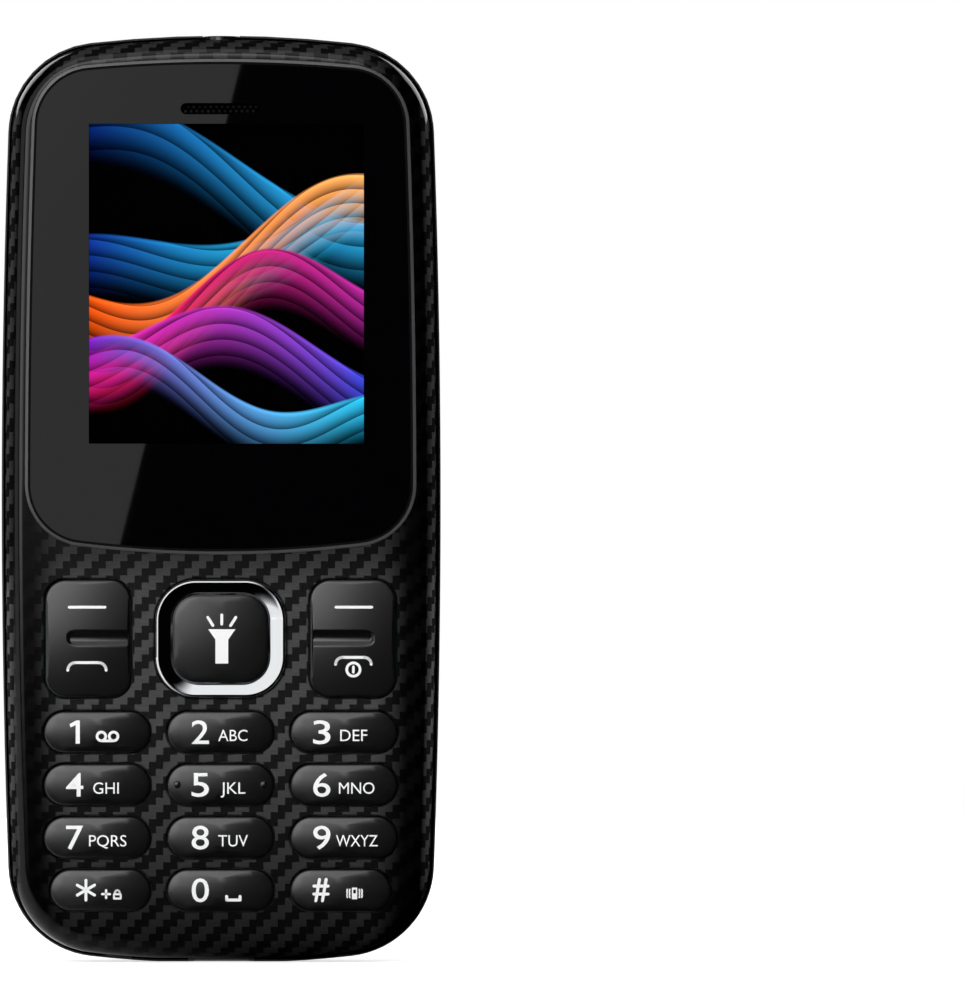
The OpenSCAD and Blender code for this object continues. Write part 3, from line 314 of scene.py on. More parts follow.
aside = add(tree, "ShaderNodeMath", {0: bow, 1: 0.5 / (SIDE_BOW * MM), 2: aside}, operation="MULTIPLY_ADD")
inset = add(tree, "ShaderNodeMath", {0: body_w / 2 * MM, 1: aside}, operation="SUBTRACT")
# Painted shade: the weave darkens towards the sides, the foot and the window.
side = add(tree, "ShaderNodeMapRange", {0: inset, 1: SIDE_SHADE_DARK * MM, 2: SIDE_SHADE_CLEAR * MM, 3: 0.03},
           interpolation_type="SMOOTHSTEP")
# Painted highlight: the weave lightens on the front's rim.
rim = add(tree, "ShaderNodeMapRange", {0: inset, 1: RIM_HIGHLIGHT_START * MM, 2: RIM_HIGHLIGHT_PEAK * MM, 4: 2.0})
wall = add(tree, "ShaderNodeMapRange", {0: inset, 1: RIM_HIGHLIGHT_PEAK * MM, 2: RIM_HIGHLIGHT_END * MM, 3: 2.0, 4: 0.8})
rim = add(tree, "ShaderNodeMath", {0: rim, 1: wall}, operation="MINIMUM")
edge = add(tree, "ShaderNodeMath", {0: side, 1: rim}, operation="MAXIMUM")
up = place.outputs[2]
foot = add(tree, "ShaderNodeMapRange", {0: up, 1: FOOT_SHADE_DARK * MM, 2: FOOT_SHADE_CLEAR * MM, 3: 0.12})
head = add(tree, "ShaderNodeMapRange", {0: up, 1: HEAD_SHADE_DARK * MM, 2: HEAD_SHADE_CLEAR * MM, 3: 0.45})
front = add(tree, "ShaderNodeMath", {0: foot, 1: head}, operation="MULTIPLY")
front = add(tree, "ShaderNodeMath", {0: front, 1: edge}, operation="MULTIPLY")
# Painted shade: the back's weave darkens towards its flanks.
back = add(tree, "ShaderNodeMapRange", {0: inset, 1: 0.0, 2: BACK_SHADE_CLEAR * MM, 3: 0.35})
behind = add(tree, "ShaderNodeMath", {0: place.outputs[1], 1: 0.0}, operation="GREATER_THAN")
fade = add(tree, "ShaderNodeMix", {0: behind, 2: front, 3: back})
shade = add(tree, "ShaderNodeMath", {0: shade, 1: fade.outputs[0]}, operation="MULTIPLY")
pale = add(tree, "ShaderNodeMix", {0: across, 6: tint("#171717"), 7: tint("#454545")}, data_type="RGBA")
toned = add(tree, "ShaderNodeVectorMath", {0: pale.outputs[2], "Scale": shade}, operation="SCALE")
tree.links.new(toned.outputs[0], shader.inputs["Base Color"])


def from_edge(points):
    """How far front-view points lie inside the phone's outline, and the way out of it there."""
    outline, ways = body_outline(0)
    near = np.array([np.argmin(((outline - p) ** 2).sum(1)) for p in points])
    return ((outline[near] - points) * ways[near]).sum(1), ways[near]


def lay_weave(obj, profile, hand=1):
    """Unrolls the weave over a shell: flat on its face, and on along the profile of its edge."""
    mesh = obj.data
    co = np.array([v.co for v in mesh.vertices]) / MM
    inset, ways = from_edge(co[:, [0, 2]])
    profile = np.array(profile)
    a, run = profile[:-1], np.diff(profile, axis=0)
    length = np.hypot(*run.T)
    start = np.cumsum(length) - length
    at = np.column_stack([inset, co[:, 1]])[:, None, :]
    share = np.clip(((at - a) * run).sum(2) / length**2, 0, 1)
    away = ((at - a - share[:, :, None] * run) ** 2).sum(2)
    near = away.argmin(1)
    along = start[near] + share[np.arange(len(co)), near] * length[near]
    wrap = np.where(inset < profile[0][0], along - (profile[0][0] - inset), 0)
    where = (co[:, [0, 2]] + ways * wrap[:, None]) * (hand, 1)
    layer = mesh.uv_layers.new(name="weave")
    for loop in mesh.loops:
        layer.data[loop.index].uv = where[loop.vertex_index]


def circle(mid, radius, steps=24):
    """A closed ring of points."""
    t = np.linspace(0, math.tau, steps, endpoint=False)
    return np.array(mid) + radius * np.column_stack([np.cos(t), np.sin(t)])


def prism(bm, loop, low, high, axes):
    """A closed bar with the loop as its section, between two places along its length."""
    ends = []
    for end in (low, high):
        ends.append([bm.verts.new(Vector([(*p, end)[k] for k in axes]) * MM) for p in loop])
    bridge(bm, *ends)
    for end in ends:
        bm.faces.new(end)


def end_openings(bm):
    """Bars that open the end walls: the torch lens above, two sockets and the microphone below."""
    nodes = ("torch_lens", "audio_jack", "microphone", "micro_usb_socket")
    lens, jack, mic, usb = (np.array(millimetres(node))[:, :2] for node in nodes)
    hole = (mic.mean(0)[0], (y_split + Y_FLOOR) / 2)
    upright = (0, 1, 2)
    prism(bm, circle(lens.mean(0), TORCH_HOLE, 48), BODY_H - TORCH_DEEP, BODY_H + OVER, upright)
    prism(bm, circle(jack.mean(0), JACK_HOLE, 48), -OVER, SOCKET_DEEP, upright)
    prism(bm, circle(hole, MIC_HOLE), -OVER, SOCKET_DEEP, upright)
    mouth = round_rect(usb.mean(0), *(usb[1] - usb[0]), USB_ROUND, -USB_INSET)
    prism(bm, mouth, -OVER, USB_DEEP, upright)


def carve(obj, bm):
    """Cuts bars out of a closed shell."""
    tool = solid(bm, "bars")
    cut = obj.modifiers.new("openings", "BOOLEAN")
    cut.object, cut.solver = tool, "EXACT"
    made = bpy.data.meshes.new_from_object(obj.evaluated_get(bpy.context.evaluated_depsgraph_get()))
    obj.modifiers.clear()
    old, obj.data = obj.data, made
    bpy.data.meshes.remove(old)
    bpy.data.objects.remove(tool)
    made.set_sharp_from_angle(angle=math.radians(35))


shell = [(RIM_FRONT, y_split), (RIM_FRONT, y_face + ROUND_D)]
for t in np.radians((81, 72, 63, 54, 45, 37, 30, 23, 17, 12, 6, 0)):
    shell.append((RIM_FRONT + ROUND_W * (1 - math.sin(t)), y_face + ROUND_D * (1 - math.cos(t))))
bm = bmesh.new()
inside = [(RIM_FRONT + FACE_WALL, y_inner), (RIM_FRONT + FACE_WALL, y_split)]
rings = stack(bm, body_loop, inside + shell)
mouths, throats = [], []
depths = ((KEY_GAP + LIP, y_face), (KEY_GAP, y_face + LIP), (KEY_GAP, y_inner))
for node in ["key_" + k for k in KEYS] + ["left_rocker_key", "right_rocker_key", "nav_ring"]:
    mouth, _, throat = stack(bm, lambda grow: key_outline(node, grow), depths)
    mouths.append(mouth)
    throats.append(throat)
fill(bm, rings[-1], mouths)
fill(bm, rings[0], throats)
housing = solid(bm, "front_shell")
bm = bmesh.new()
end_openings(bm)
prism(bm, window_outline(-WINDOW_GAP), y_face - 1, y_inner + 1, (0, 2, 1))
carve(housing, bm)
lay_weave(housing, shell[::-1])
hang(housing, weave, "phone", "carbon_print", "front_housing")

# Display window
# Clear acrylic, printed black behind its border and left open over the display, with a grey
# chamfer around its edge whose colour is a painted highlight, and a painted shadow line inside
# it. It is taped into its seat in the front housing.
CHAMFER, SEAL = 0.36, 0.3
BEVEL_D, GLASS_SINK = 0.1, 0.01
EAR_W, EAR_H, EAR_LIP = 9.5, 1.26, 0.05
LIT_W, LIT_H, LIT_TOP = 33.0, 38.4, 0.8

# Acrylic over black print: a deep black that mirrors its surroundings sharply.
black_glass = surface("black-backed acrylic", "#020203", 9.0, 0.0, 0.008, 0.004, IOR=1.49)[0]
bm = bmesh.new()
y_glass = y_face + GLASS_SINK
ear_mid = middle("earpiece_mesh")[0]
lit_mid = np.array([middle("lcd_panel")[0][0], millimetres("lcd_panel")[1][2] - LIT_TOP - LIT_H / 2])
profile = ((EAR_LIP, y_glass), (0, y_glass + BEVEL_D), (0, window_high[1]))
ear_rings = stack(bm, lambda grow: round_rect(ear_mid, EAR_W, EAR_H, EAR_H / 2, grow), profile)
pane = round_rect(lit_mid, LIT_W, LIT_H, 0.01, 0, 1, 10)
border = ring(bm, at_depth(window_outline(CHAMFER + SEAL), y_glass))
fill(bm, border, [ear_rings[0], ring(bm, at_depth(pane, y_glass))])
hang(solid(bm, "window_border"), black_glass, "phone", "window_acrylic", "display_window")

# Grey paint with a soft sheen on a chamfer: a painted highlight that draws a fine pale line around the
# window.
painted_chamfer_highlight = surface("grey painted highlight on a chamfer", "#454547", 0.4, 0.05, 0.32, 0.08)[0]
bm = bmesh.new()
stack(bm, window_outline, ((0, window_high[1]), (0, y_glass + BEVEL_D), (CHAMFER, y_glass)))
hang(solid(bm, "window_chamfer"), painted_chamfer_highlight, "phone", "window_acrylic")

# Matt black with no reflection: a painted shadow line that parts the chamfer from the glossy border.
painted_shadow_line = surface("matt black painted shadow", "#050505", 0.3, 0.05, 0.8, 0.1, Specular_IOR_Level=0.1)[0]
bm = bmesh.new()
stack(bm, window_outline, ((CHAMFER, y_glass), (CHAMFER + SEAL, y_glass)))
hang(solid(bm, "window_shadow_line"), painted_shadow_line, "phone", "window_acrylic")

# Bonded acrylic with an anti-reflective coat: the lit picture shows with no veil over it.
clear_pane = surface("anti-reflective acrylic", "#ffffff", 9.0, 0.0, 0.02, 0.01, IOR=1.0,
                     Transmission_Weight=1.0, Specular_IOR_Level=0.0)[0]
bm = bmesh.new()
fill(bm, ring(bm, at_depth(pane, y_glass)))
hang(solid(bm, "window_pane"), clear_pane, "phone", "window_acrylic")


def dress(material, *nodes):
    """Gives frame nodes that keep their shape a material and smooth shading."""
    for name in nodes:
        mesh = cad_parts[name].data
        mesh.materials.clear()
        mesh.materials.append(material)
        mesh.shade_smooth()
        mesh.set_sharp_from_angle(angle=math.radians(30))


# Acrylic foam tape: pale, dull and slightly uneven.
tape = surface("double-sided foam tape", "#cfcfc6", 0.2, 0.1, 0.7, 0.1)[0]
dress(tape, "window_adhesive")

# Earpiece
# A fine steel mesh painted black, glued behind the slot in the window, and a small receiver
# capsule that is clipped into the front housing behind it.
# Black paint on mesh, made darker and duller than paint as painted shade: the slot reads as a dark hole.
mesh_paint_and_shade = surface("black-painted steel mesh in painted shade", "#020202", 0.2, 0.1, 0.9, 0.05, Specular_IOR_Level=0.0)[0]
dress(mesh_paint_and_shade, "earpiece_mesh", "speaker_mesh")
# Nylon from a spark-eroded mould: black with a fine, even, dull grain.
moulded = surface("spark-grained black nylon", "#151516", 0.25, 0.12, 0.5, 0.08, IOR=1.53)[0]
dress(moulded, "earpiece_receiver")

# Display
# A liquid crystal sandwich over a white backlight, plugged into the main board by a flex. It is
# lit from behind, with soft ribbons of colour that drift across a black ground.
RIBBONS = [
    # height at the middle, slope, swing, waves across, phase, depth, layers, left and right colour
    (0.90, -0.34, 0.05, 0.8, 0.4, 0.22, 3, "#0c2f8c", "#2aa8e0"),
    (0.70, 0.22, 0.08, 0.7, 2.2, 0.20, 4, "#12349c", "#2cc8f0"),
    (0.62, 0.26, 0.11, 0.8, 3.4, 0.22, 5, "#ff5a10", "#ffb060"),
    (0.47, 0.14, 0.12, 0.9, 4.3, 0.20, 4, "#f01c30", "#b02898"),
    (0.33, -0.08, 0.10, 0.8, 5.3, 0.20, 4, "#e81c9c", "#3848d8"),
    (0.20, -0.18, 0.07, 1.0, 0.6, 0.16, 3, "#7c1cc0", "#28c4ec"),
]
# Liquid crystal in front of a lamp: colour that glows by itself on a ground that stays black.
picture, tree, shader = surface("lit liquid crystal", "#010101", 2.0, 0.0, 0.2, 0.02,
                                Specular_IOR_Level=0.0)
place = add(tree, "ShaderNodeTexCoord").outputs["Object"]
corner = ((lit_mid[0] - LIT_W / 2) * MM, 0, (lit_mid[1] - LIT_H / 2) * MM)
place = add(tree, "ShaderNodeVectorMath", {0: place, 1: corner}, operation="SUBTRACT")
place = add(tree, "ShaderNodeVectorMath", {0: place, 1: (1 / (LIT_W * MM), 1, 1 / (LIT_H * MM))},
            operation="MULTIPLY")
place = add(tree, "ShaderNodeSeparateXYZ", {0: place})
u, v = place.outputs[0], place.outputs[2]
glow = tint("#000000")
for height, slope, swing, waves, phase, depth, layers, left, right in RIBBONS:
    turn = add(tree, "ShaderNodeMath", {0: u, 1: waves * math.tau, 2: phase}, operation="MULTIPLY_ADD")
    turn = add(tree, "ShaderNodeMath", {0: turn}, operation="SINE")
    line = add(tree, "ShaderNodeMath", {0: u, 1: slope, 2: height - slope / 2}, operation="MULTIPLY_ADD")
    line = add(tree, "ShaderNodeMath", {0: turn, 1: swing, 2: line}, operation="MULTIPLY_ADD")
    below = add(tree, "ShaderNodeMath", {0: line, 1: v}, operation="SUBTRACT")
    edge = add(tree, "ShaderNodeMapRange", {0: below, 1: -0.004, 2: 0.004})
    fade = add(tree, "ShaderNodeMapRange", {0: below, 1: 0.0, 2: depth, 3: 1.0, 4: 0.0},
               interpolation_type="SMOOTHSTEP")
    cover = add(tree, "ShaderNodeMath", {0: edge, 1: fade}, operation="MULTIPLY")
    fold = add(tree, "ShaderNodeMath", {0: turn, 1: 0.6, 2: phase}, operation="MULTIPLY_ADD")
    fold = add(tree, "ShaderNodeMath", {0: below, 1: layers / depth, 2: fold}, operation="MULTIPLY_ADD")
    fold = add(tree, "ShaderNodeMath", {0: fold}, operation="FRACT")
    fold = add(tree, "ShaderNodeMath", {0: fold, 1: 1.6}, operation="POWER")
    fold = add(tree, "ShaderNodeMapRange", {0: fold, 3: 1.15, 4: 0.18})
    crest = add(tree, "ShaderNodeMapRange", {0: below, 1: 0.0, 2: 0.014, 3: 0.5, 4: 0.0})
    fold = add(tree, "ShaderNodeMath", {0: fold, 1: crest}, operation="ADD")
    hue = add(tree, "ShaderNodeMix", {0: u, 6: tint(left), 7: tint(right)}, data_type="RGBA")
    silk = add(tree, "ShaderNodeVectorMath", {0: hue.outputs[2], "Scale": fold}, operation="SCALE")
    glow = add(tree, "ShaderNodeMix", {0: cover, 6: glow, 7: silk.outputs[0]}, data_type="RGBA").outputs[2]
inside = None
for value in (u, v):
    for low, high in ((-0.001, 0.001), (1.001, 0.999)):
        gate = add(tree, "ShaderNodeMapRange", {0: value, 1: low, 2: high})
        inside = add(tree, "ShaderNodeMath", {0: inside, 1: gate}, operation="MULTIPLY") if inside else gate
glow = add(tree, "ShaderNodeVectorMath", {0: glow, "Scale": inside}, operation="SCALE")
tree.links.new(glow.outputs[0], shader.inputs["Emission Color"])
shader.inputs["Emission Strength"].default_value = 1.0
dress(picture, "lcd_panel")
# Polycarbonate filled with white pigment: bright and softly dull.
white_moulded = surface("white moulded polycarbonate", "#e4e4e0", 0.3, 0.08, 0.45, 0.08, IOR=1.58)[0]
dress(white_moulded, "lcd_backlight", "torch_led")
# Polyimide: amber, with a soft sheen.
film = surface("amber polyimide film", "#a8632a", 0.5, 0.05, 0.35, 0.08, IOR=1.7)[0]
dress(film, "lcd_flex", "camera_flex")

# Number keys
# Twelve crowned caps moulded in black polycarbonate and lacquered, with legends printed in
# white. Each cap has a stem that presses a metal dome through the key mat.
CROWN_X, CROWN_Z = 46, 20
EDGE_R = 0.3
KEY_TRAVEL, TRAVEL_END = 0.35, 0.05
STEM_R, STEM_ROOT = 1.3, 0.1
PRINT_LIFT, PRINT_STEP = 0.03, 0.4
DIGIT_X = (-2.69, -2.42, -2.64)         # digits' middles from the keys', by column
DIGIT_W, DIGIT_H = 2.08, 2.82
LETTER_Z, LETTER_H = -0.4, 1.36
LINE_W, BOLD_W = 0.34, 0.36
LETTERS = {
    # key: letters, their middle from the key's, their width
    "2": ("ABC", 1.49, 3.5), "3": ("DEF", 1.19, 3.24), "4": ("GHI", 1.07, 3.08), "5": ("JKL", 1.5, 2.96),
    "6": ("MNO", 1.55, 4.27), "7": ("PQRS", 1.28, 4.49), "8": ("TUV", 1.52, 3.56), "9": ("WXYZ", 1.56, 5.0),
}
# Lacquered polycarbonate: black with a satin gloss that rolls over the crown.
key_black = surface("lacquered black polycarbonate", "#060607", 0.8, 0.0, 0.26, 0.015, IOR=1.58)[0]
# Pad-printed ink: clean opaque white, slightly dull.
print_white = surface("white pad print", "#f6f6f6", 0.12, 0.05, 0.5, 0.08)[0]


def crowned_cap(node, crown, dent=None, step=0.8, stems=(0,)):
    """A cap with a crowned top and a rolled edge, on stems at these heights from its middle.

    Dent gives how far a point of it is pressed in.
    """
    mid, w, h = middle(node)
    top, end = (corner[1] for corner in millimetres(node))
    back = y_inner - KEY_TRAVEL - TRAVEL_END
    bm = bmesh.new()

    def height(points):
        away = (points - mid) ** 2
        sunk = top + away[:, 0] / (2 * crown[0]) + away[:, 1] / (2 * crown[1])
        return sunk + (dent(points - mid) if dent else 0)

    rings = [ring(bm, at_depth(key_outline(node, 0), back))]
    for t in np.radians(np.linspace(0, 90, 8)):
        points = key_outline(node, -EDGE_R * (1 - math.cos(t)))
        rings.append(ring(bm, at_depth(points, height(points) + EDGE_R * (1 - math.sin(t)))))
    bridge(bm, *rings)
    xs, zs = (np.arange(-size / 2, size / 2, step) for size in (w, h))
    grid = np.array([(x, z) for x in xs for z in zs]) + mid
    grid = grid[within(grid, key_outline(node, -EDGE_R - step / 2))]
    fill(bm, rings[-1], (), ring(bm, at_depth(grid, height(grid))))
    fill(bm, rings[0])
    for z in stems:
        ends = ((STEM_R, back - STEM_ROOT), (STEM_R, end))
        for loop in stack(bm, lambda radius: circle(mid + (0, z), radius), ends):
            fill(bm, loop)
    hang(solid(bm, node + "_cap", 60), key_black, node, "key_gloss", node)
    return height


def printed(name, body, shapes, height):
    """White print from flat polygons, laid on a cap."""
    bm = bmesh.new()
    for shape in shapes:
        loops = []
        for points in shape:
            after = np.roll(points, -1, axis=0)
            parts = np.maximum(1, np.ceil(np.hypot(*(after - points).T) / PRINT_STEP)).astype(int)
            runs = zip(points, after, parts)
            fine = np.vstack([a + (b - a) * np.arange(n)[:, None] / n for a, b, n in runs])
            loops.append(ring(bm, at_depth(fine, height(fine) - PRINT_LIFT)))
        fill(bm, loops[0], loops[1:])
    hang(solid(bm, name), print_white, body, "key_gloss")


def stroke(points, width, closed=False):
    """Polygons of a line with round ends."""
    points = np.asarray(points, float)
    pairs = list(zip(points, points[1:])) + ([(points[-1], points[0])] if closed else [])
    made = []
    for a, b in pairs:
        along = (b - a) / max(np.hypot(*(b - a)), 1e-9) * width / 2
        out = np.array([-along[1], along[0]])
        turn = np.linspace(-math.pi / 2, math.pi / 2, 7)
        end = [b + along * math.cos(t) + out * math.sin(t) for t in turn]
        start = [a - along * math.cos(t) - out * math.sin(t) for t in turn]
        made.append([np.array(end + start)])
    return made


def lettering(text, mid, width, height, weight):
    """Text as polygons, fitted to a width and height around its middle."""
    curve = bpy.data.curves.new("legend", "FONT")
    curve.body, curve.resolution_u, curve.offset = text, 4, weight
    obj = bpy.data.objects.new("legend", curve)
    bpy.context.scene.collection.objects.link(obj)
    mesh = bpy.data.meshes.new_from_object(obj.evaluated_get(bpy.context.evaluated_depsgraph_get()))
    co = np.array([v.co[:2] for v in mesh.vertices])
    low, high = np.array([co[:, 0].min(), 0.0]), co.max(0)          # from the baseline up
    co = (co - (low + high) / 2) / (high - low) * (width, height) + mid
    made = [[co[list(p.vertices)]] for p in mesh.polygons]
    bpy.data.objects.remove(obj)
    bpy.data.curves.remove(curve)
    bpy.data.meshes.remove(mesh)
    return made


for k, key in enumerate(KEYS):
    node = "key_" + key
    mid = middle(node)[0]
    height = crowned_cap(node, (CROWN_X, CROWN_Z))
    digit = mid + (DIGIT_X[k % 3], 0)
    marks = []
    if key == "1":
        one = [(0.62, -1.4), (0.62, 1.4), (0.2, 1.4), (-0.62, 0.95), (-0.5, 0.55), (0.12, 0.85),
               (0.12, -1.4)]
        marks.append([digit + np.array(one)])
        for x in (0.52, 1.98):
            marks.append([circle(mid + (x, -0.52), 0.68), circle(mid + (x, -0.52), 0.36)])
        marks += stroke([mid + (0.52, -1.05), mid + (1.98, -1.05)], 0.32)
    elif key.isdigit():
        marks += lettering(key, digit, DIGIT_W, DIGIT_H, 0.004)
    if key in LETTERS:
        letters, off, width = LETTERS[key]
        marks += lettering(letters, mid + (off, LETTER_Z), width, LETTER_H, 0.0)
    if key == "0":
        space = ((0.75, -0.76), (0.75, -1.19), (2.35, -1.19), (2.35, -0.76))
        marks += stroke([mid + p for p in space], BOLD_W)
    if key == "star":
        star = mid + (-1.72, 0)
        for t in np.radians((90, 30, 150)):
            arm = 1.2 * np.array([math.cos(t), math.sin(t)])
            marks += stroke([star - arm, star + arm], LINE_W)
        plus = mid + (0.7, -0.48)
        marks += stroke([plus - (0.46, 0), plus + (0.46, 0)], 0.28)
        marks += stroke([plus - (0, 0.46), plus + (0, 0.46)], 0.28)
        lock = mid + (2.05, -0.6)
        case = ((-0.4, 0.1), (0.4, 0.1), (0.4, -0.42), (-0.4, -0.42))
        marks += stroke([lock + p for p in case], 0.24, True)
        hoop = np.linspace(0, math.pi, 9)
        marks += stroke([lock + (0.32 * math.cos(t), 0.12 + 0.46 * math.sin(t)) for t in hoop], 0.24)
    if key == "hash":
        sign = mid + (-2.36, 0)
        for x in (-0.4, 0.4):
            marks += stroke([sign + (x - 0.22, -1.28), sign + (x + 0.22, 1.28)], BOLD_W)
        for z in (-0.48, 0.48):
            marks += stroke([sign + (-0.85, z), sign + (0.85, z)], BOLD_W)
        buzz = mid + (1.67, LETTER_Z)
        marks.append([buzz + np.array([(-0.32, -0.7), (0.32, -0.7), (0.32, 0.7), (-0.32, 0.7)]),
                      buzz + np.array([(-0.16, 0.0), (0.16, 0.0), (0.16, 0.45), (-0.16, 0.45)])])
        for s in (-1, 1):
            for off in (0.56, 0.86):
                zig = [buzz + (s * (off + 0.07 * (n % 2)), 0.48 - 0.24 * n) for n in range(5)]
                marks += stroke(zig, 0.18)
    printed("legend_" + key, node, marks, height)

# Middle key's dots
# Two raised dots that let a thumb find the middle of the keypad, moulded in one with its cap.
DOT_R, DOT_X, DOT_H, DOT_ROOT = 0.45, 5.18, 0.14, 0.1
five = middle("key_5")[0]
dot_base = millimetres("key_5")[0][1] + DOT_X**2 / (2 * CROWN_X)


def dome(bm, mid, radius, base, rise, foot=(), steps=24):
    """A round dome on a base, over the rings of its foot."""
    turns = np.radians((0, 20, 40, 60, 78))
    profile = [*foot, *((radius * math.cos(t), base + rise * math.sin(t)) for t in turns)]
    fill(bm, stack(bm, lambda r: circle(mid, r, steps), profile)[-1])


bm = bmesh.new()
for s in (-1, 1):
    dome(bm, five + (s * DOT_X, 0), DOT_R, dot_base, -DOT_H, [(DOT_R, dot_base + DOT_ROOT)])
hang(solid(bm, "key_5_dots", 60), key_black, "key_5", "key_gloss")

# Rocker keys
# One lacquered cap on each side carries a soft key above and a call key below, parted by a
# rounded groove that runs out at the inner edge. It tips about its middle.
GROOVE_Z, GROOVE_H, GROOVE_L, GROOVE_D = 0.06, 1.8, 7.7, 0.34
ROCKER_CROWN = 60
for side, name in ((-1, "left"), (1, "right")):
    node = name + "_rocker_key"
    mid, rocker_w, rocker_h = middle(node)

    def groove(points):
        inner = rocker_w / 2 + points[:, 0] * side          # distance from the inner edge
        down = (GROOVE_Z + GROOVE_H / 2 - points[:, 1]) / GROOVE_H
        end = np.clip((inner - GROOVE_L + GROOVE_H / 2) / (GROOVE_H / 2), 0, None)
        reach = np.clip((1 - np.hypot(end, np.where(end > 0, 2 * down - 1, 0))) / 0.25, 0, 1)
        return GROOVE_D * np.clip(4 * down * (1 - down), 0, 1) * reach

    height = crowned_cap(node, (ROCKER_CROWN, ROCKER_CROWN), groove, 0.14, (-rocker_h / 4, rocker_h / 4))
    dash = mid + (0.12 * side, 3.78)
    marks = stroke([dash - (2.15, 0), dash + (2.15, 0)], LINE_W)
    hook, half, drop = (mid + (-0.14, -2.87), 2.3, 0.91) if side < 0 else (mid + (0.07, -2.24), 2.14, 0.83)
    turn = np.linspace(0, math.pi / 2, 7)
    bend = [(-half + drop * (1 - math.cos(t)), -drop * (1 - math.sin(t))) for t in turn]
    marks += stroke([hook + p for p in bend] + [hook + (-x, z) for x, z in bend[::-1]], LINE_W)
    if side > 0:
        knob = mid + (0.07, -3.7)
        marks.append([circle(knob, 0.96), circle(knob, 0.64)])
        marks += stroke([knob - (0, 0.33), knob + (0, 0.33)], 0.31)
    printed(name + "_rocker_legend", node, marks, height)

# Navigation ring
# A bright chromium-plated ring, dished towards the centre key inside a narrow raised rim. It
# is staked to a black frame that is wider than its opening and rocks on four nubs.
RING_RIM, RING_STEP, RING_DIP, RING_GAP = 0.36, 0.03, 0.75, 0.22
# Chromium over bright nickel: a near mirror that takes its tones from the room.
chrome = surface("bright chromium plate", "#dfe1e3", 2.0, 0.008, 0.07, 0.02, Metallic=1.0)[0]
y_rim, y_ring = (corner[1] for corner in millimetres("nav_ring"))


def plated_loop(node, grow):
    """A key's outline with fine corners and plain sides."""
    return round_rect(*middle(node), KEY_R[node], grow, 24, 50)


bm = bmesh.new()
roll = ((0, 0.34), (-0.1, 0.18), (-0.22, 0.06), (-RING_RIM, 0))         # over the rim, from outside
profile = [(0, y_ring), *((grow, y_rim + sink) for grow, sink in roll)]
rings = stack(bm, lambda grow: plated_loop("nav_ring", grow), profile)
rim_loop, inner_loop = plated_loop("nav_ring", -RING_RIM), plated_loop("centre_key", RING_GAP)
dish = [rings[-1]]
for share in np.linspace(0.08, 1, 8):
    sink = RING_STEP + RING_DIP * (share * 0.8 + 0.2 * share**2)
    dish.append(ring(bm, at_depth(rim_loop * (1 - share) + inner_loop * share, y_rim + sink)))
dish.append(ring(bm, at_depth(inner_loop, y_ring)))
bridge(bm, *dish, rings[0])
hang(solid(bm, "nav_ring_plated", 50), chrome, "nav_ring", "bright_ring", "nav_ring")
dress(moulded, "nav_frame")

# Centre key
# A crowned cap like the number keys', inside the ring and printed with a hand torch.
CENTRE_CROWN = 60
height = crowned_cap("centre_key", (CENTRE_CROWN, CENTRE_CROWN))
lamp = middle("centre_key")[0] + (0.16, 0)
torch = [(-0.77, -2.98), (0.77, -2.98), (0.77, -0.1), (1.63, 1.13), (-1.63, 1.13), (-0.77, -0.1)]
marks = [[lamp + np.array(torch)]]
for x0, z0, x1, z1 in ((-1.68, 2.56, -1.06, 1.58), (0, 2.85, 0, 1.75), (1.68, 2.56, 1.06, 1.58)):
    marks += stroke([lamp + (x0, z0), lamp + (x1, z1)], LINE_W)
printed("torch_legend", "centre_key", marks, height)

# Key mat and switches
# A grey silicone mat seals the keys' stems, and a steel sheet of snap domes lies under it on the
# main board.
# Silicone: soft grey, dull, with a faint bloom.
silicone = surface("moulded grey silicone", "#56565a", 0.3, 0.08, 0.62, 0.06, IOR=1.41)[0]
dress(silicone, "key_mat")
# Tinned steel: pale metal with a slightly hazy reflection.
steel = surface("pressed tinned steel", "#a9acb0", 0.25, 0.06, 0.34, 0.08, Metallic=1.0)[0]
dress(steel, "dome_sheet")

# Main board
# A glass-epoxy board under green solder mask, with tinned shields, sockets and a motor soldered
# on. It lies on the front housing's bosses, and the rear housing clamps it.
# Solder mask: glossy green, with copper areas that show through a shade lighter.
board, tree, shader = surface("green solder mask on glass epoxy", "#1c5a38", 0.5, 0.06, 0.32, 0.06)
tracks = add(tree, "ShaderNodeTexCoord").outputs["Object"]
tracks = add(tree, "ShaderNodeTexBrick", {
    "Vector": tracks, "Scale": 260.0, "Mortar Size": 0.03,
    "Color1": tint("#1c5a38"), "Color2": tint("#1f6340"), "Mortar": tint("#2c7a50"),
})
tree.links.new(tracks.outputs[0], shader.inputs["Base Color"])
dress(board, "main_board")
dress(steel, "baseband_shield", "radio_shield", "sim_sockets", "memory_card_socket", "micro_usb_socket",
      "vibration_motor")
dress(moulded, "audio_jack", "battery_connector")
# Gold flash on spring bronze: warm, fairly bright metal.
gilt = surface("gold flash on bronze", "#cda45a", 0.2, 0.05, 0.28, 0.08, Metallic=1.0)[0]
dress(gilt, "microphone", "battery_contacts", "antenna")
# Sintered tungsten: dull grey metal with a fine pitted grain.
heavy = surface("sintered tungsten", "#85888d", 0.15, 0.12, 0.45, 0.1, Metallic=1.0)[0]
dress(heavy, "vibration_weight")

# Torch
# A white lamp on the main board behind a smoked lens that is pressed into the top end, flush
# with the middle band.
TORCH_R, TORCH_L = 2.2, 4.0
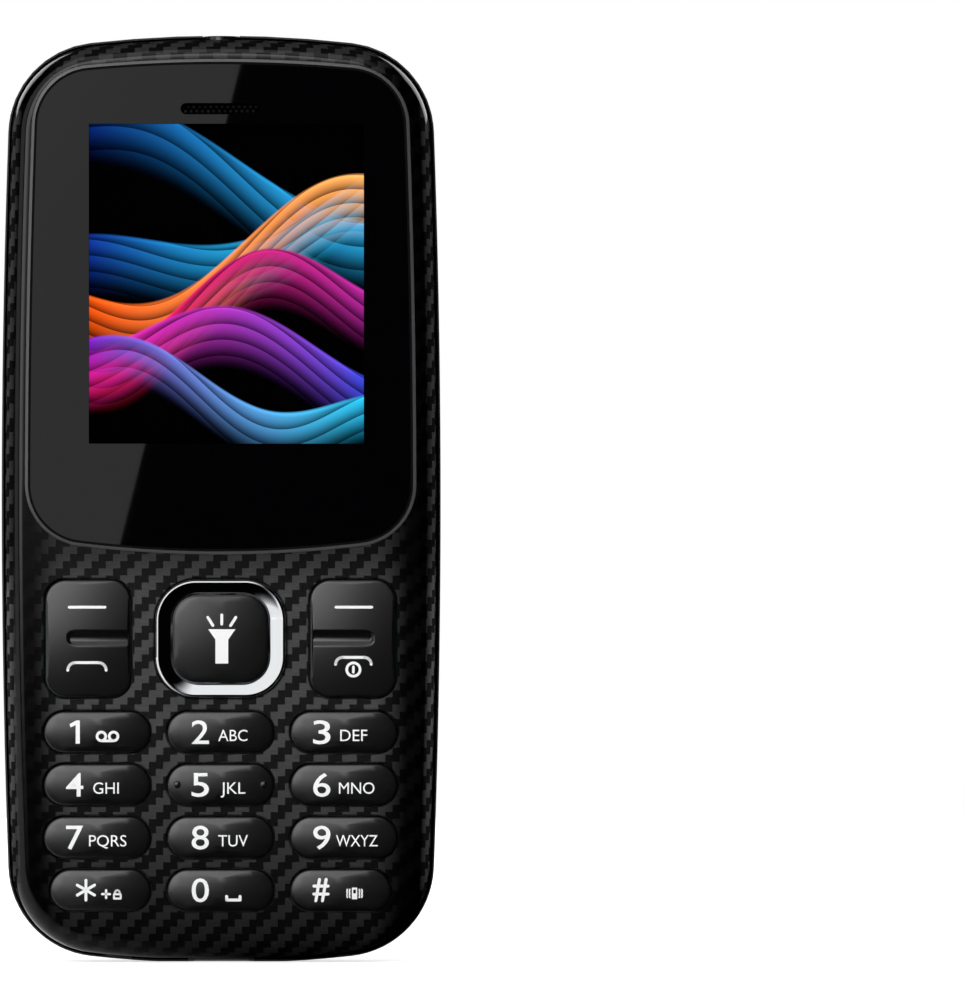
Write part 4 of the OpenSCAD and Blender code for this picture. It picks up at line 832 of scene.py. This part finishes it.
# Smoked polycarbonate, finely frosted: a dark sheen that the lamp still shines through.
smoked = surface("smoked polycarbonate", "#0b0b0c", 1.0, 0.02, 0.25, 0.03, IOR=1.58,
                 Transmission_Weight=0.1)[0]
low, high = millimetres("torch_lens")
bm = bmesh.new()
rings = []
for inset, sink in ((0, TORCH_L), (0, 0.12), (0.08, 0.05), (0.2, 0.03)):
    loop = circle((low + high)[:2] / 2, TORCH_R - inset, 48)
    top = BODY_H - loop[:, 0] ** 2 / (2 * END_BOW) - sink
    rings.append(ring(bm, np.column_stack([loop, top])))
bridge(bm, *rings)
for end in (rings[0], rings[-1]):
    bm.faces.new(end)
hang(solid(bm, "torch_front"), smoked, "phone", "clear_lens", "torch_lens")

# Rear housing
# A black frame moulded in two shots: grained nylon, and a polished polycarbonate edge that is the
# phone's middle band. Its floor carries the battery bay, the loudspeaker and the camera, and six
# screws clamp it to the front housing.
BEAD_R = 0.2             # rounding of the band's front edge
RIM_BACK = 0.2           # step from the band in to the battery cover
BAND_T, BAND_LAP = 0.8, 0.3
y_join = millimetres("battery_cover")[0][1]
# Polished polycarbonate: deep black with crisp highlights along the rounded edge.
gloss_black = surface("polished black polycarbonate", "#050506", 3.0, 0.005, 0.08, 0.03, IOR=1.58)[0]
bm = bmesh.new()
bm.from_mesh(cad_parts["rear_housing"].data)
band_inside = body_loop(RIM_FRONT + BAND_LAP)
outside = []
for face in bm.faces:
    points = np.array([(v.co.x, v.co.z) for v in face.verts]) / MM
    if not within(points, band_inside).any():
        outside.append(face)
bmesh.ops.delete(bm, geom=outside, context="FACES")
hang(solid(bm, "rear_frame", 8), moulded, "phone", "black_gloss", "rear_housing")
bead = [(BAND_T, y_join), (BAND_T, y_split)]
for t in np.radians(np.linspace(0, 90, 8)):
    bead.append((BEAD_R * (1 - math.sin(t)), y_split + BEAD_R * (1 - math.cos(t))))
bead += [(RIM_BACK * a, y_join - RIM_BACK * b) for a, b in ((0, 1), (0.3, 0.3), (1, 0))]
bm = bmesh.new()
rings = stack(bm, body_loop, bead)
bridge(bm, rings[-1], rings[0])
band = solid(bm, "middle_band")
bm = bmesh.new()
end_openings(bm)
carve(band, bm)
hang(band, gloss_black, "phone", "black_gloss")
dress(steel, "housing_screws")

# Battery
# A flat lithium cell in a folded aluminium can, wrapped in film and laid into its bay.
# Film over aluminium: blue-grey, softly glossy, with slow waves where it is shrunk on.
wrap = surface("shrunk film over an aluminium can", "#434a55", 1.5, 0.04, 0.4, 0.06)[0]
dress(wrap, "battery_pack")

# Loudspeaker
# A paper cone in a black frame, sealed to the cover's slots by a foam ring.
dress(moulded, "loudspeaker")
# Open-cell foam: dark grey and quite dull.
foam = surface("black open-cell foam", "#3c3c3f", 0.4, 0.5, 0.94, 0.04)[0]
dress(foam, "speaker_gasket")

# Camera
# A dark anodised plate with turned rings around a black glass window, and the lens behind it.
# The plate is glued on a block of the rear housing and shows through the cover.
BEZEL_R, BEZEL_EDGE, BEZEL_SEAT = 2.8, 0.28, 0.8
TURN_X, TURN_Z, TURN_PITCH = -3.5, -0.2, 0.3
GLASS_R, GLASS_GAP, GLASS_BEVEL, PANE_SINK = 2.0, 0.05, 0.12, 0.02
LENS_RING, LENS_R, LENS_SINK, LENS_RISE = 1.75, 1.05, 0.42, 0.25
bezel_mid = middle("camera_bezel")[0]
y_bezel0, y_bezel = (corner[1] for corner in millimetres("camera_bezel"))


def bezel_loop(grow):
    """The camera plate's outline."""
    return round_rect(*middle("camera_bezel"), BEZEL_R, grow, 14)


def glass_loop(grow):
    """The camera window's outline."""
    return round_rect(*middle("camera_window"), GLASS_R, grow, 14)


dress(moulded, "camera_module")
# Anodised aluminium faced on a lathe: dark metal whose fine grooves throw fans of light.
turned, tree, shader = surface("dark anodised turned aluminium", "#4a4a4c", 0.3, 0.0, 0.3, 0.04,
                               Metallic=1.0, Anisotropic=0.8)
place = add(tree, "ShaderNodeTexCoord").outputs["Object"]
hub = ((bezel_mid[0] + TURN_X) * MM, 0, (bezel_mid[1] + TURN_Z) * MM)
place = add(tree, "ShaderNodeVectorMath", {0: place, 1: hub}, operation="SUBTRACT")
place = add(tree, "ShaderNodeVectorMath", {0: place, 1: (1, 0, 1)}, operation="MULTIPLY")
radius = add(tree, "ShaderNodeVectorMath", {0: place}, operation="LENGTH").outputs["Value"]
cut = add(tree, "ShaderNodeMath", {0: radius, 1: math.tau / (TURN_PITCH * MM)}, operation="MULTIPLY")
cut = add(tree, "ShaderNodeMath", {0: cut}, operation="SINE")
raised = add(tree, "ShaderNodeBump", {"Strength": 0.6, "Distance": 0.05 * MM, "Height": cut})
tree.links.new(raised.outputs[0], shader.inputs["Normal"])
lay = add(tree, "ShaderNodeVectorMath", {0: place, 1: (0, 1, 0)}, operation="CROSS_PRODUCT")
tree.links.new(lay.outputs[0], shader.inputs["Tangent"])
bm = bmesh.new()
profile = ((0, y_bezel0), (0, y_bezel - 0.25), (-0.08, y_bezel - 0.1), (-BEZEL_EDGE, y_bezel))
rings = stack(bm, bezel_loop, profile)
seat = stack(bm, glass_loop, ((GLASS_GAP, y_bezel), (GLASS_GAP, y_bezel - BEZEL_SEAT)))
fill(bm, rings[-1], [seat[0]])
hang(solid(bm, "camera_plate", 25), turned, "phone", "turned_metal", "camera_bezel")

# Glass over black print: a deep black that mirrors its surroundings sharply.
camera_glass = surface("black-backed glass", "#020203", 6.0, 0.0, 0.008, 0.004)[0]
lens_mid = middle("camera_module")[0]
y_pane = y_bezel - PANE_SINK
y_lens = y_bezel - LENS_SINK
bm = bmesh.new()
profile = ((0, y_bezel - BEZEL_SEAT), (0, y_bezel - GLASS_BEVEL), (-GLASS_BEVEL, y_pane))
rings = stack(bm, glass_loop, profile)
fill(bm, rings[-1], [ring(bm, at_depth(circle(lens_mid, LENS_RING, 40), y_pane))])
hang(solid(bm, "camera_glass_plate", 20), camera_glass, "phone", "camera_glass", "camera_window")
# Moulded barrel with a metallic paint: a dull grey ring around the lens.
barrel = surface("grey painted lens barrel", "#4a4b4e", 0.2, 0.05, 0.35, 0.06, Metallic=0.6)[0]
bm = bmesh.new()
profile = (
    (LENS_RING, y_pane), (LENS_RING - 0.15, y_pane - 0.1),
    (LENS_R + 0.2, y_lens + 0.02), (LENS_R, y_lens),
)
stack(bm, lambda radius: circle(lens_mid, radius, 40), profile)
hang(solid(bm, "lens_barrel"), barrel, "phone", "black_moulding")
# Coated glass with a small sharp highlight: its pale bluish grey is a painted sheen of the coating.
lens_glass = surface("coated lens glass", "#4a5168", 0.6, 0.0, 0.06, 0.03, IOR=1.7, Metallic=0.4)[0]
bm = bmesh.new()
dome(bm, lens_mid, LENS_R, y_lens, LENS_RISE, steps=40)
hang(solid(bm, "lens_front"), lens_glass, "phone", "camera_glass")

# Battery cover
# The back shell, moulded, patterned and lacquered like the front one. It snaps over the rear
# housing's tongue and is prised off to change the battery; slots let the loudspeaker out.
BACK_W, BACK_D = 5.0, 5.2
COVER_T = 1.0
SLOT_W, SLOT_L, SLOT_PITCH = 1.25, 6.7, 3.0
BEZEL_GAP, PLATE_R, PLATE_GAP, PLATE_POCKET = 0.2, 0.5, 0.05, 0.45
y_back = millimetres("battery_cover")[1][1]
speaker_mid = middle("speaker_mesh")[0]
inner = []
for t in np.radians(np.linspace(90, 0, 8)):
    inner.append((
        RIM_BACK + COVER_T + (BACK_W - COVER_T) * (1 - math.cos(t)),
        y_back - COVER_T - (BACK_D - COVER_T) * (1 - math.sin(t)),
    ))
inner.append((RIM_BACK + COVER_T, y_join))
shell = [(RIM_BACK, y_join), (RIM_BACK, y_back - BACK_D)]
for t in np.radians(np.linspace(0, 90, 15)[1:]):
    shell.append((RIM_BACK + BACK_W * (1 - math.cos(t)), y_back - BACK_D * (1 - math.sin(t))))
bm = bmesh.new()
rings = stack(bm, body_loop, inner + shell)
openings = [lambda grow: bezel_loop(BEZEL_GAP + grow)]
for x in (-SLOT_PITCH, 0, SLOT_PITCH):
    openings.append(lambda grow, x=x: round_rect(speaker_mid + (x, 0), SLOT_W, SLOT_L, SLOT_W / 2, grow))
openings.append(lambda grow: round_rect(*middle("name_plate"), PLATE_R, PLATE_GAP + grow / 3))
mouths, throats = [], []
for outline in openings:
    pocket = outline is openings[-1]
    floor = PLATE_POCKET if pocket else COVER_T
    depths = ((LIP, y_back), (0, y_back - LIP), (0, y_back - floor))
    mouth, _, throat = stack(bm, outline, depths)
    mouths.append(mouth)
    if pocket:
        fill(bm, throat)
    else:
        throats.append(throat)
fill(bm, rings[-1], mouths)
fill(bm, rings[0], throats)
cover = solid(bm, "cover_shell")
bm = bmesh.new()
end_openings(bm)
carve(cover, bm)
lay_weave(cover, shell[::-1], -1)
hang(cover, weave, "battery_cover", "carbon_print", "battery_cover")
# The print ends at the rim, and the inside keeps the mould's bare black grain.
cover.data.materials.append(moulded)
for face in cover.data.polygons:
    out = face.center - Vector((0, y_join, BODY_H / 2)) * MM
    face.material_index = int(face.normal.dot(out) < 1e-6)

# Plate on the cover
# A thin enamelled metal plate, glued into a shallow pocket of the cover and left bare.
# Satin enamel: even dark grey with a soft sheen.
plate_grey = surface("satin grey enamel", "#4b4b4c", 0.3, 0.04, 0.42, 0.06)[0]
dress(plate_grey, "name_plate")

# Studio
# A white floor and surround, a large softbox to the upper left, two behind, a card and lit films
# for the window, the keys and the ring to mirror, and black flags that only reflections see.
FLOOR_X, FLOOR_BACK, FLOOR_FRONT = 1.5, 0.9, 1.5
AIM = Vector((0, 0, BODY_H / 2 * MM))


def seen_level(tree, hidden, seen):
    """One level for light that reaches the eye, straight or by reflection, and another for the rest."""
    path = add(tree, "ShaderNodeLightPath")
    rays = path.outputs["Is Camera Ray"]
    for name in ("Is Glossy Ray", "Is Transmission Ray"):
        rays = add(tree, "ShaderNodeMath", {0: rays, 1: path.outputs[name]}, operation="MAXIMUM").outputs[0]
    return add(tree, "ShaderNodeMapRange", {0: rays, 3: hidden, 4: seen}).outputs[0]


def staged(bm, name, material):
    """Turns a finished mesh into a thing of the studio."""
    mesh = bpy.data.meshes.new(name)
    bm.to_mesh(mesh)
    bm.free()
    mesh.materials.append(material)
    obj = bpy.data.objects.new(name, mesh)
    bpy.context.scene.collection.objects.link(obj)
    return obj


def block(name, low, high, material):
    """A block of the studio between two corners, in metres."""
    bm = bmesh.new()
    bmesh.ops.create_cube(bm, size=1.0)
    low, high = Vector(low), Vector(high)
    bmesh.ops.scale(bm, vec=high - low, verts=bm.verts)
    bmesh.ops.translate(bm, vec=(low + high) / 2, verts=bm.verts)
    return staged(bm, name, material)


def softbox(name, place, size, radiance, turn=0.0):
    """A rectangular lamp that faces the phone, with the same radiance all over."""
    lamp = bpy.data.lights.new(name, "AREA")
    lamp.shape = "RECTANGLE"
    lamp.size, lamp.size_y = size
    lamp.energy = radiance * math.pi * size[0] * size[1]
    obj = bpy.data.objects.new(name, lamp)
    obj.location = place
    obj.rotation_euler = (AIM - Vector(place)).to_track_quat("-Z", "Y").to_euler()
    obj.rotation_euler.rotate_axis("Z", math.radians(turn))
    obj.visible_camera = False
    bpy.context.scene.collection.objects.link(obj)
    return obj


# Matt paper: even white that keeps a soft shadow under the phone.
paper, tree, shader = surface("matt white paper", "#f2f2f2", 2.0, 0.02, 0.9, 0.03, Specular_IOR_Level=0.0)
shader.inputs["Emission Color"].default_value = tint("#ffffff")
tree.links.new(seen_level(tree, 0.0, 0.62), shader.inputs["Emission Strength"])
block("floor", (-FLOOR_X, -FLOOR_FRONT, -0.01), (FLOOR_X, FLOOR_BACK, 0), paper)

world = bpy.data.worlds.new("white surround")
bpy.context.scene.world = world
world.use_nodes = True
sky = world.node_tree.nodes["Background"]
sky.inputs["Color"].default_value = tint("#ffffff")
world.node_tree.links.new(seen_level(world.node_tree, 0.3, 1.0), sky.inputs["Strength"])

softbox("key softbox", (-0.7, -0.84, 0.76), (2.0, 1.2), 1.15, 45).visible_glossy = False
softbox("glass card", (-0.1133, -2.0, 0.225), (0.2, 0.34), 0.7, -13.9)
softbox("back right softbox", (0.9, 1.1, 0.7), (0.9, 0.9), 2.6)
softbox("back left softbox", (-0.9, 1.2, 0.8), (0.9, 0.9), 2.6)


def lit_film(name, way, dark, bright, strength):
    """Dark film lit from behind, whose light grows along a way between two distances in metres."""
    made, tree, shader = surface(name, "#030303", 2.0, 0.02, 0.9, 0.03, Specular_IOR_Level=0.0)
    place = add(tree, "ShaderNodeTexCoord").outputs["Object"]
    along = add(tree, "ShaderNodeVectorMath", {0: place, 1: way}, operation="DOT_PRODUCT")
    level = add(tree, "ShaderNodeMapRange", {0: along.outputs["Value"], 1: dark, 2: bright, 4: strength},
                interpolation_type="SMOOTHSTEP")
    shader.inputs["Emission Color"].default_value = tint("#ffffff")
    tree.links.new(level.outputs[0], shader.inputs["Emission Strength"])
    return made


# Dark film lit from behind at its upper left: the light on the keys falls off to the right.
key_film = lit_film("film lit from behind", (-0.85, 0, 0.53), 0.1, 0.64, 4.0)
camera_panel = block("camera panel", (-1.3, -2.06, 0.02), (0.3, -2.05, 1.4), key_film)
camera_panel.visible_camera = camera_panel.visible_shadow = False

# The same film in a curve from the left to the top, fading out to the right, for the ring.
ring_film = lit_film("curved film lit from behind", (1, 0, 0), 0.5, 0.06, 1.08)
ring_z = middle("nav_ring")[0][1] * MM
bm = bmesh.new()
arcs = []
for tilt in np.radians((42, 48, 54, 60, 66, 72)):
    wide, near = math.sin(tilt), math.cos(tilt)
    turns = np.radians(np.linspace(40, 186, 36))
    arcs.append([bm.verts.new((wide * math.cos(t), -near, ring_z + wide * math.sin(t))) for t in turns])
for a, b in zip(arcs, arcs[1:]):
    for k in range(len(a) - 1):
        bm.faces.new((a[k], a[k + 1], b[k + 1], b[k]))
ring_card = staged(bm, "ring card", ring_film)
ring_card.visible_camera = ring_card.visible_diffuse = ring_card.visible_shadow = False

# Velvet: black in every reflection.
velvet = surface("black velvet", "#030303", 1.0, 0.1, 0.95, 0.05, Specular_IOR_Level=0.0)[0]
# Black net that thins out to the left: the floor shows through it there.
net, tree, shader = surface("graded black net", "#030303", 1.0, 0.1, 0.95, 0.05,
                            Specular_IOR_Level=0.0)
place = add(tree, "ShaderNodeTexCoord").outputs["Object"]
slant = add(tree, "ShaderNodeVectorMath", {0: place, 1: (1.24, -1.0, 0)}, operation="DOT_PRODUCT")
thick = add(tree, "ShaderNodeMapRange", {0: slant.outputs["Value"], 1: -0.028, 2: 0.013, 3: 0.13})
tree.links.new(thick.outputs[0], shader.inputs["Alpha"])
for name, low, high, cloth in (
    ("front flag", (-2.5, -2.62, 0), (2.5, -2.6, 3), velvet),
    ("left flag", (-1.52, -2.6, 0), (-1.5, 3, 3), velvet),
    ("right flag", (1.5, -2.6, 0), (1.52, 3, 3), velvet),
    ("top flag", (-1.5, -2.6, 2.0), (1.5, 3, 2.02), velvet),
    ("back flag", (-1.5, 3, 0), (1.5, 3.02, 2), velvet),
    ("floor flag", (-1.5, -2.6, 0.0002), (1.5, -0.6, 0.0004), velvet),
    ("near floor flag", (-0.6, -0.6, 0.0002), (1.5, 0.02, 0.0004), net),
    ("far floor flag", (-1.5, 0.02, 0.0002), (1.5, 3, 0.0004), velvet),
):
    flag = block(name, low, high, cloth)
    flag.visible_camera = flag.visible_diffuse = flag.visible_shadow = flag.visible_transmission = False

# Viewpoint
# A long lens straight in front, level with the phone's middle, that leaves white to the right.
SENSOR = 36
FRAME_MM = 120.0         # height of the view at the phone's face
VIEW_X, VIEW_Z = 31.44, 55.5
DISTANCE = 2.0
camera = bpy.data.cameras.new("camera")
camera.sensor_width = SENSOR
camera.lens = SENSOR * (DISTANCE + y_face * MM) / (FRAME_MM * MM)
camera.clip_start = 0.01
view = bpy.data.objects.new("camera", camera)
view.location = (VIEW_X * MM, -DISTANCE, VIEW_Z * MM)
view.rotation_euler = (math.radians(90), 0, 0)
bpy.context.scene.collection.objects.link(view)
bpy.context.scene.camera = view
bpy.context.scene.view_settings.view_transform = "Standard"
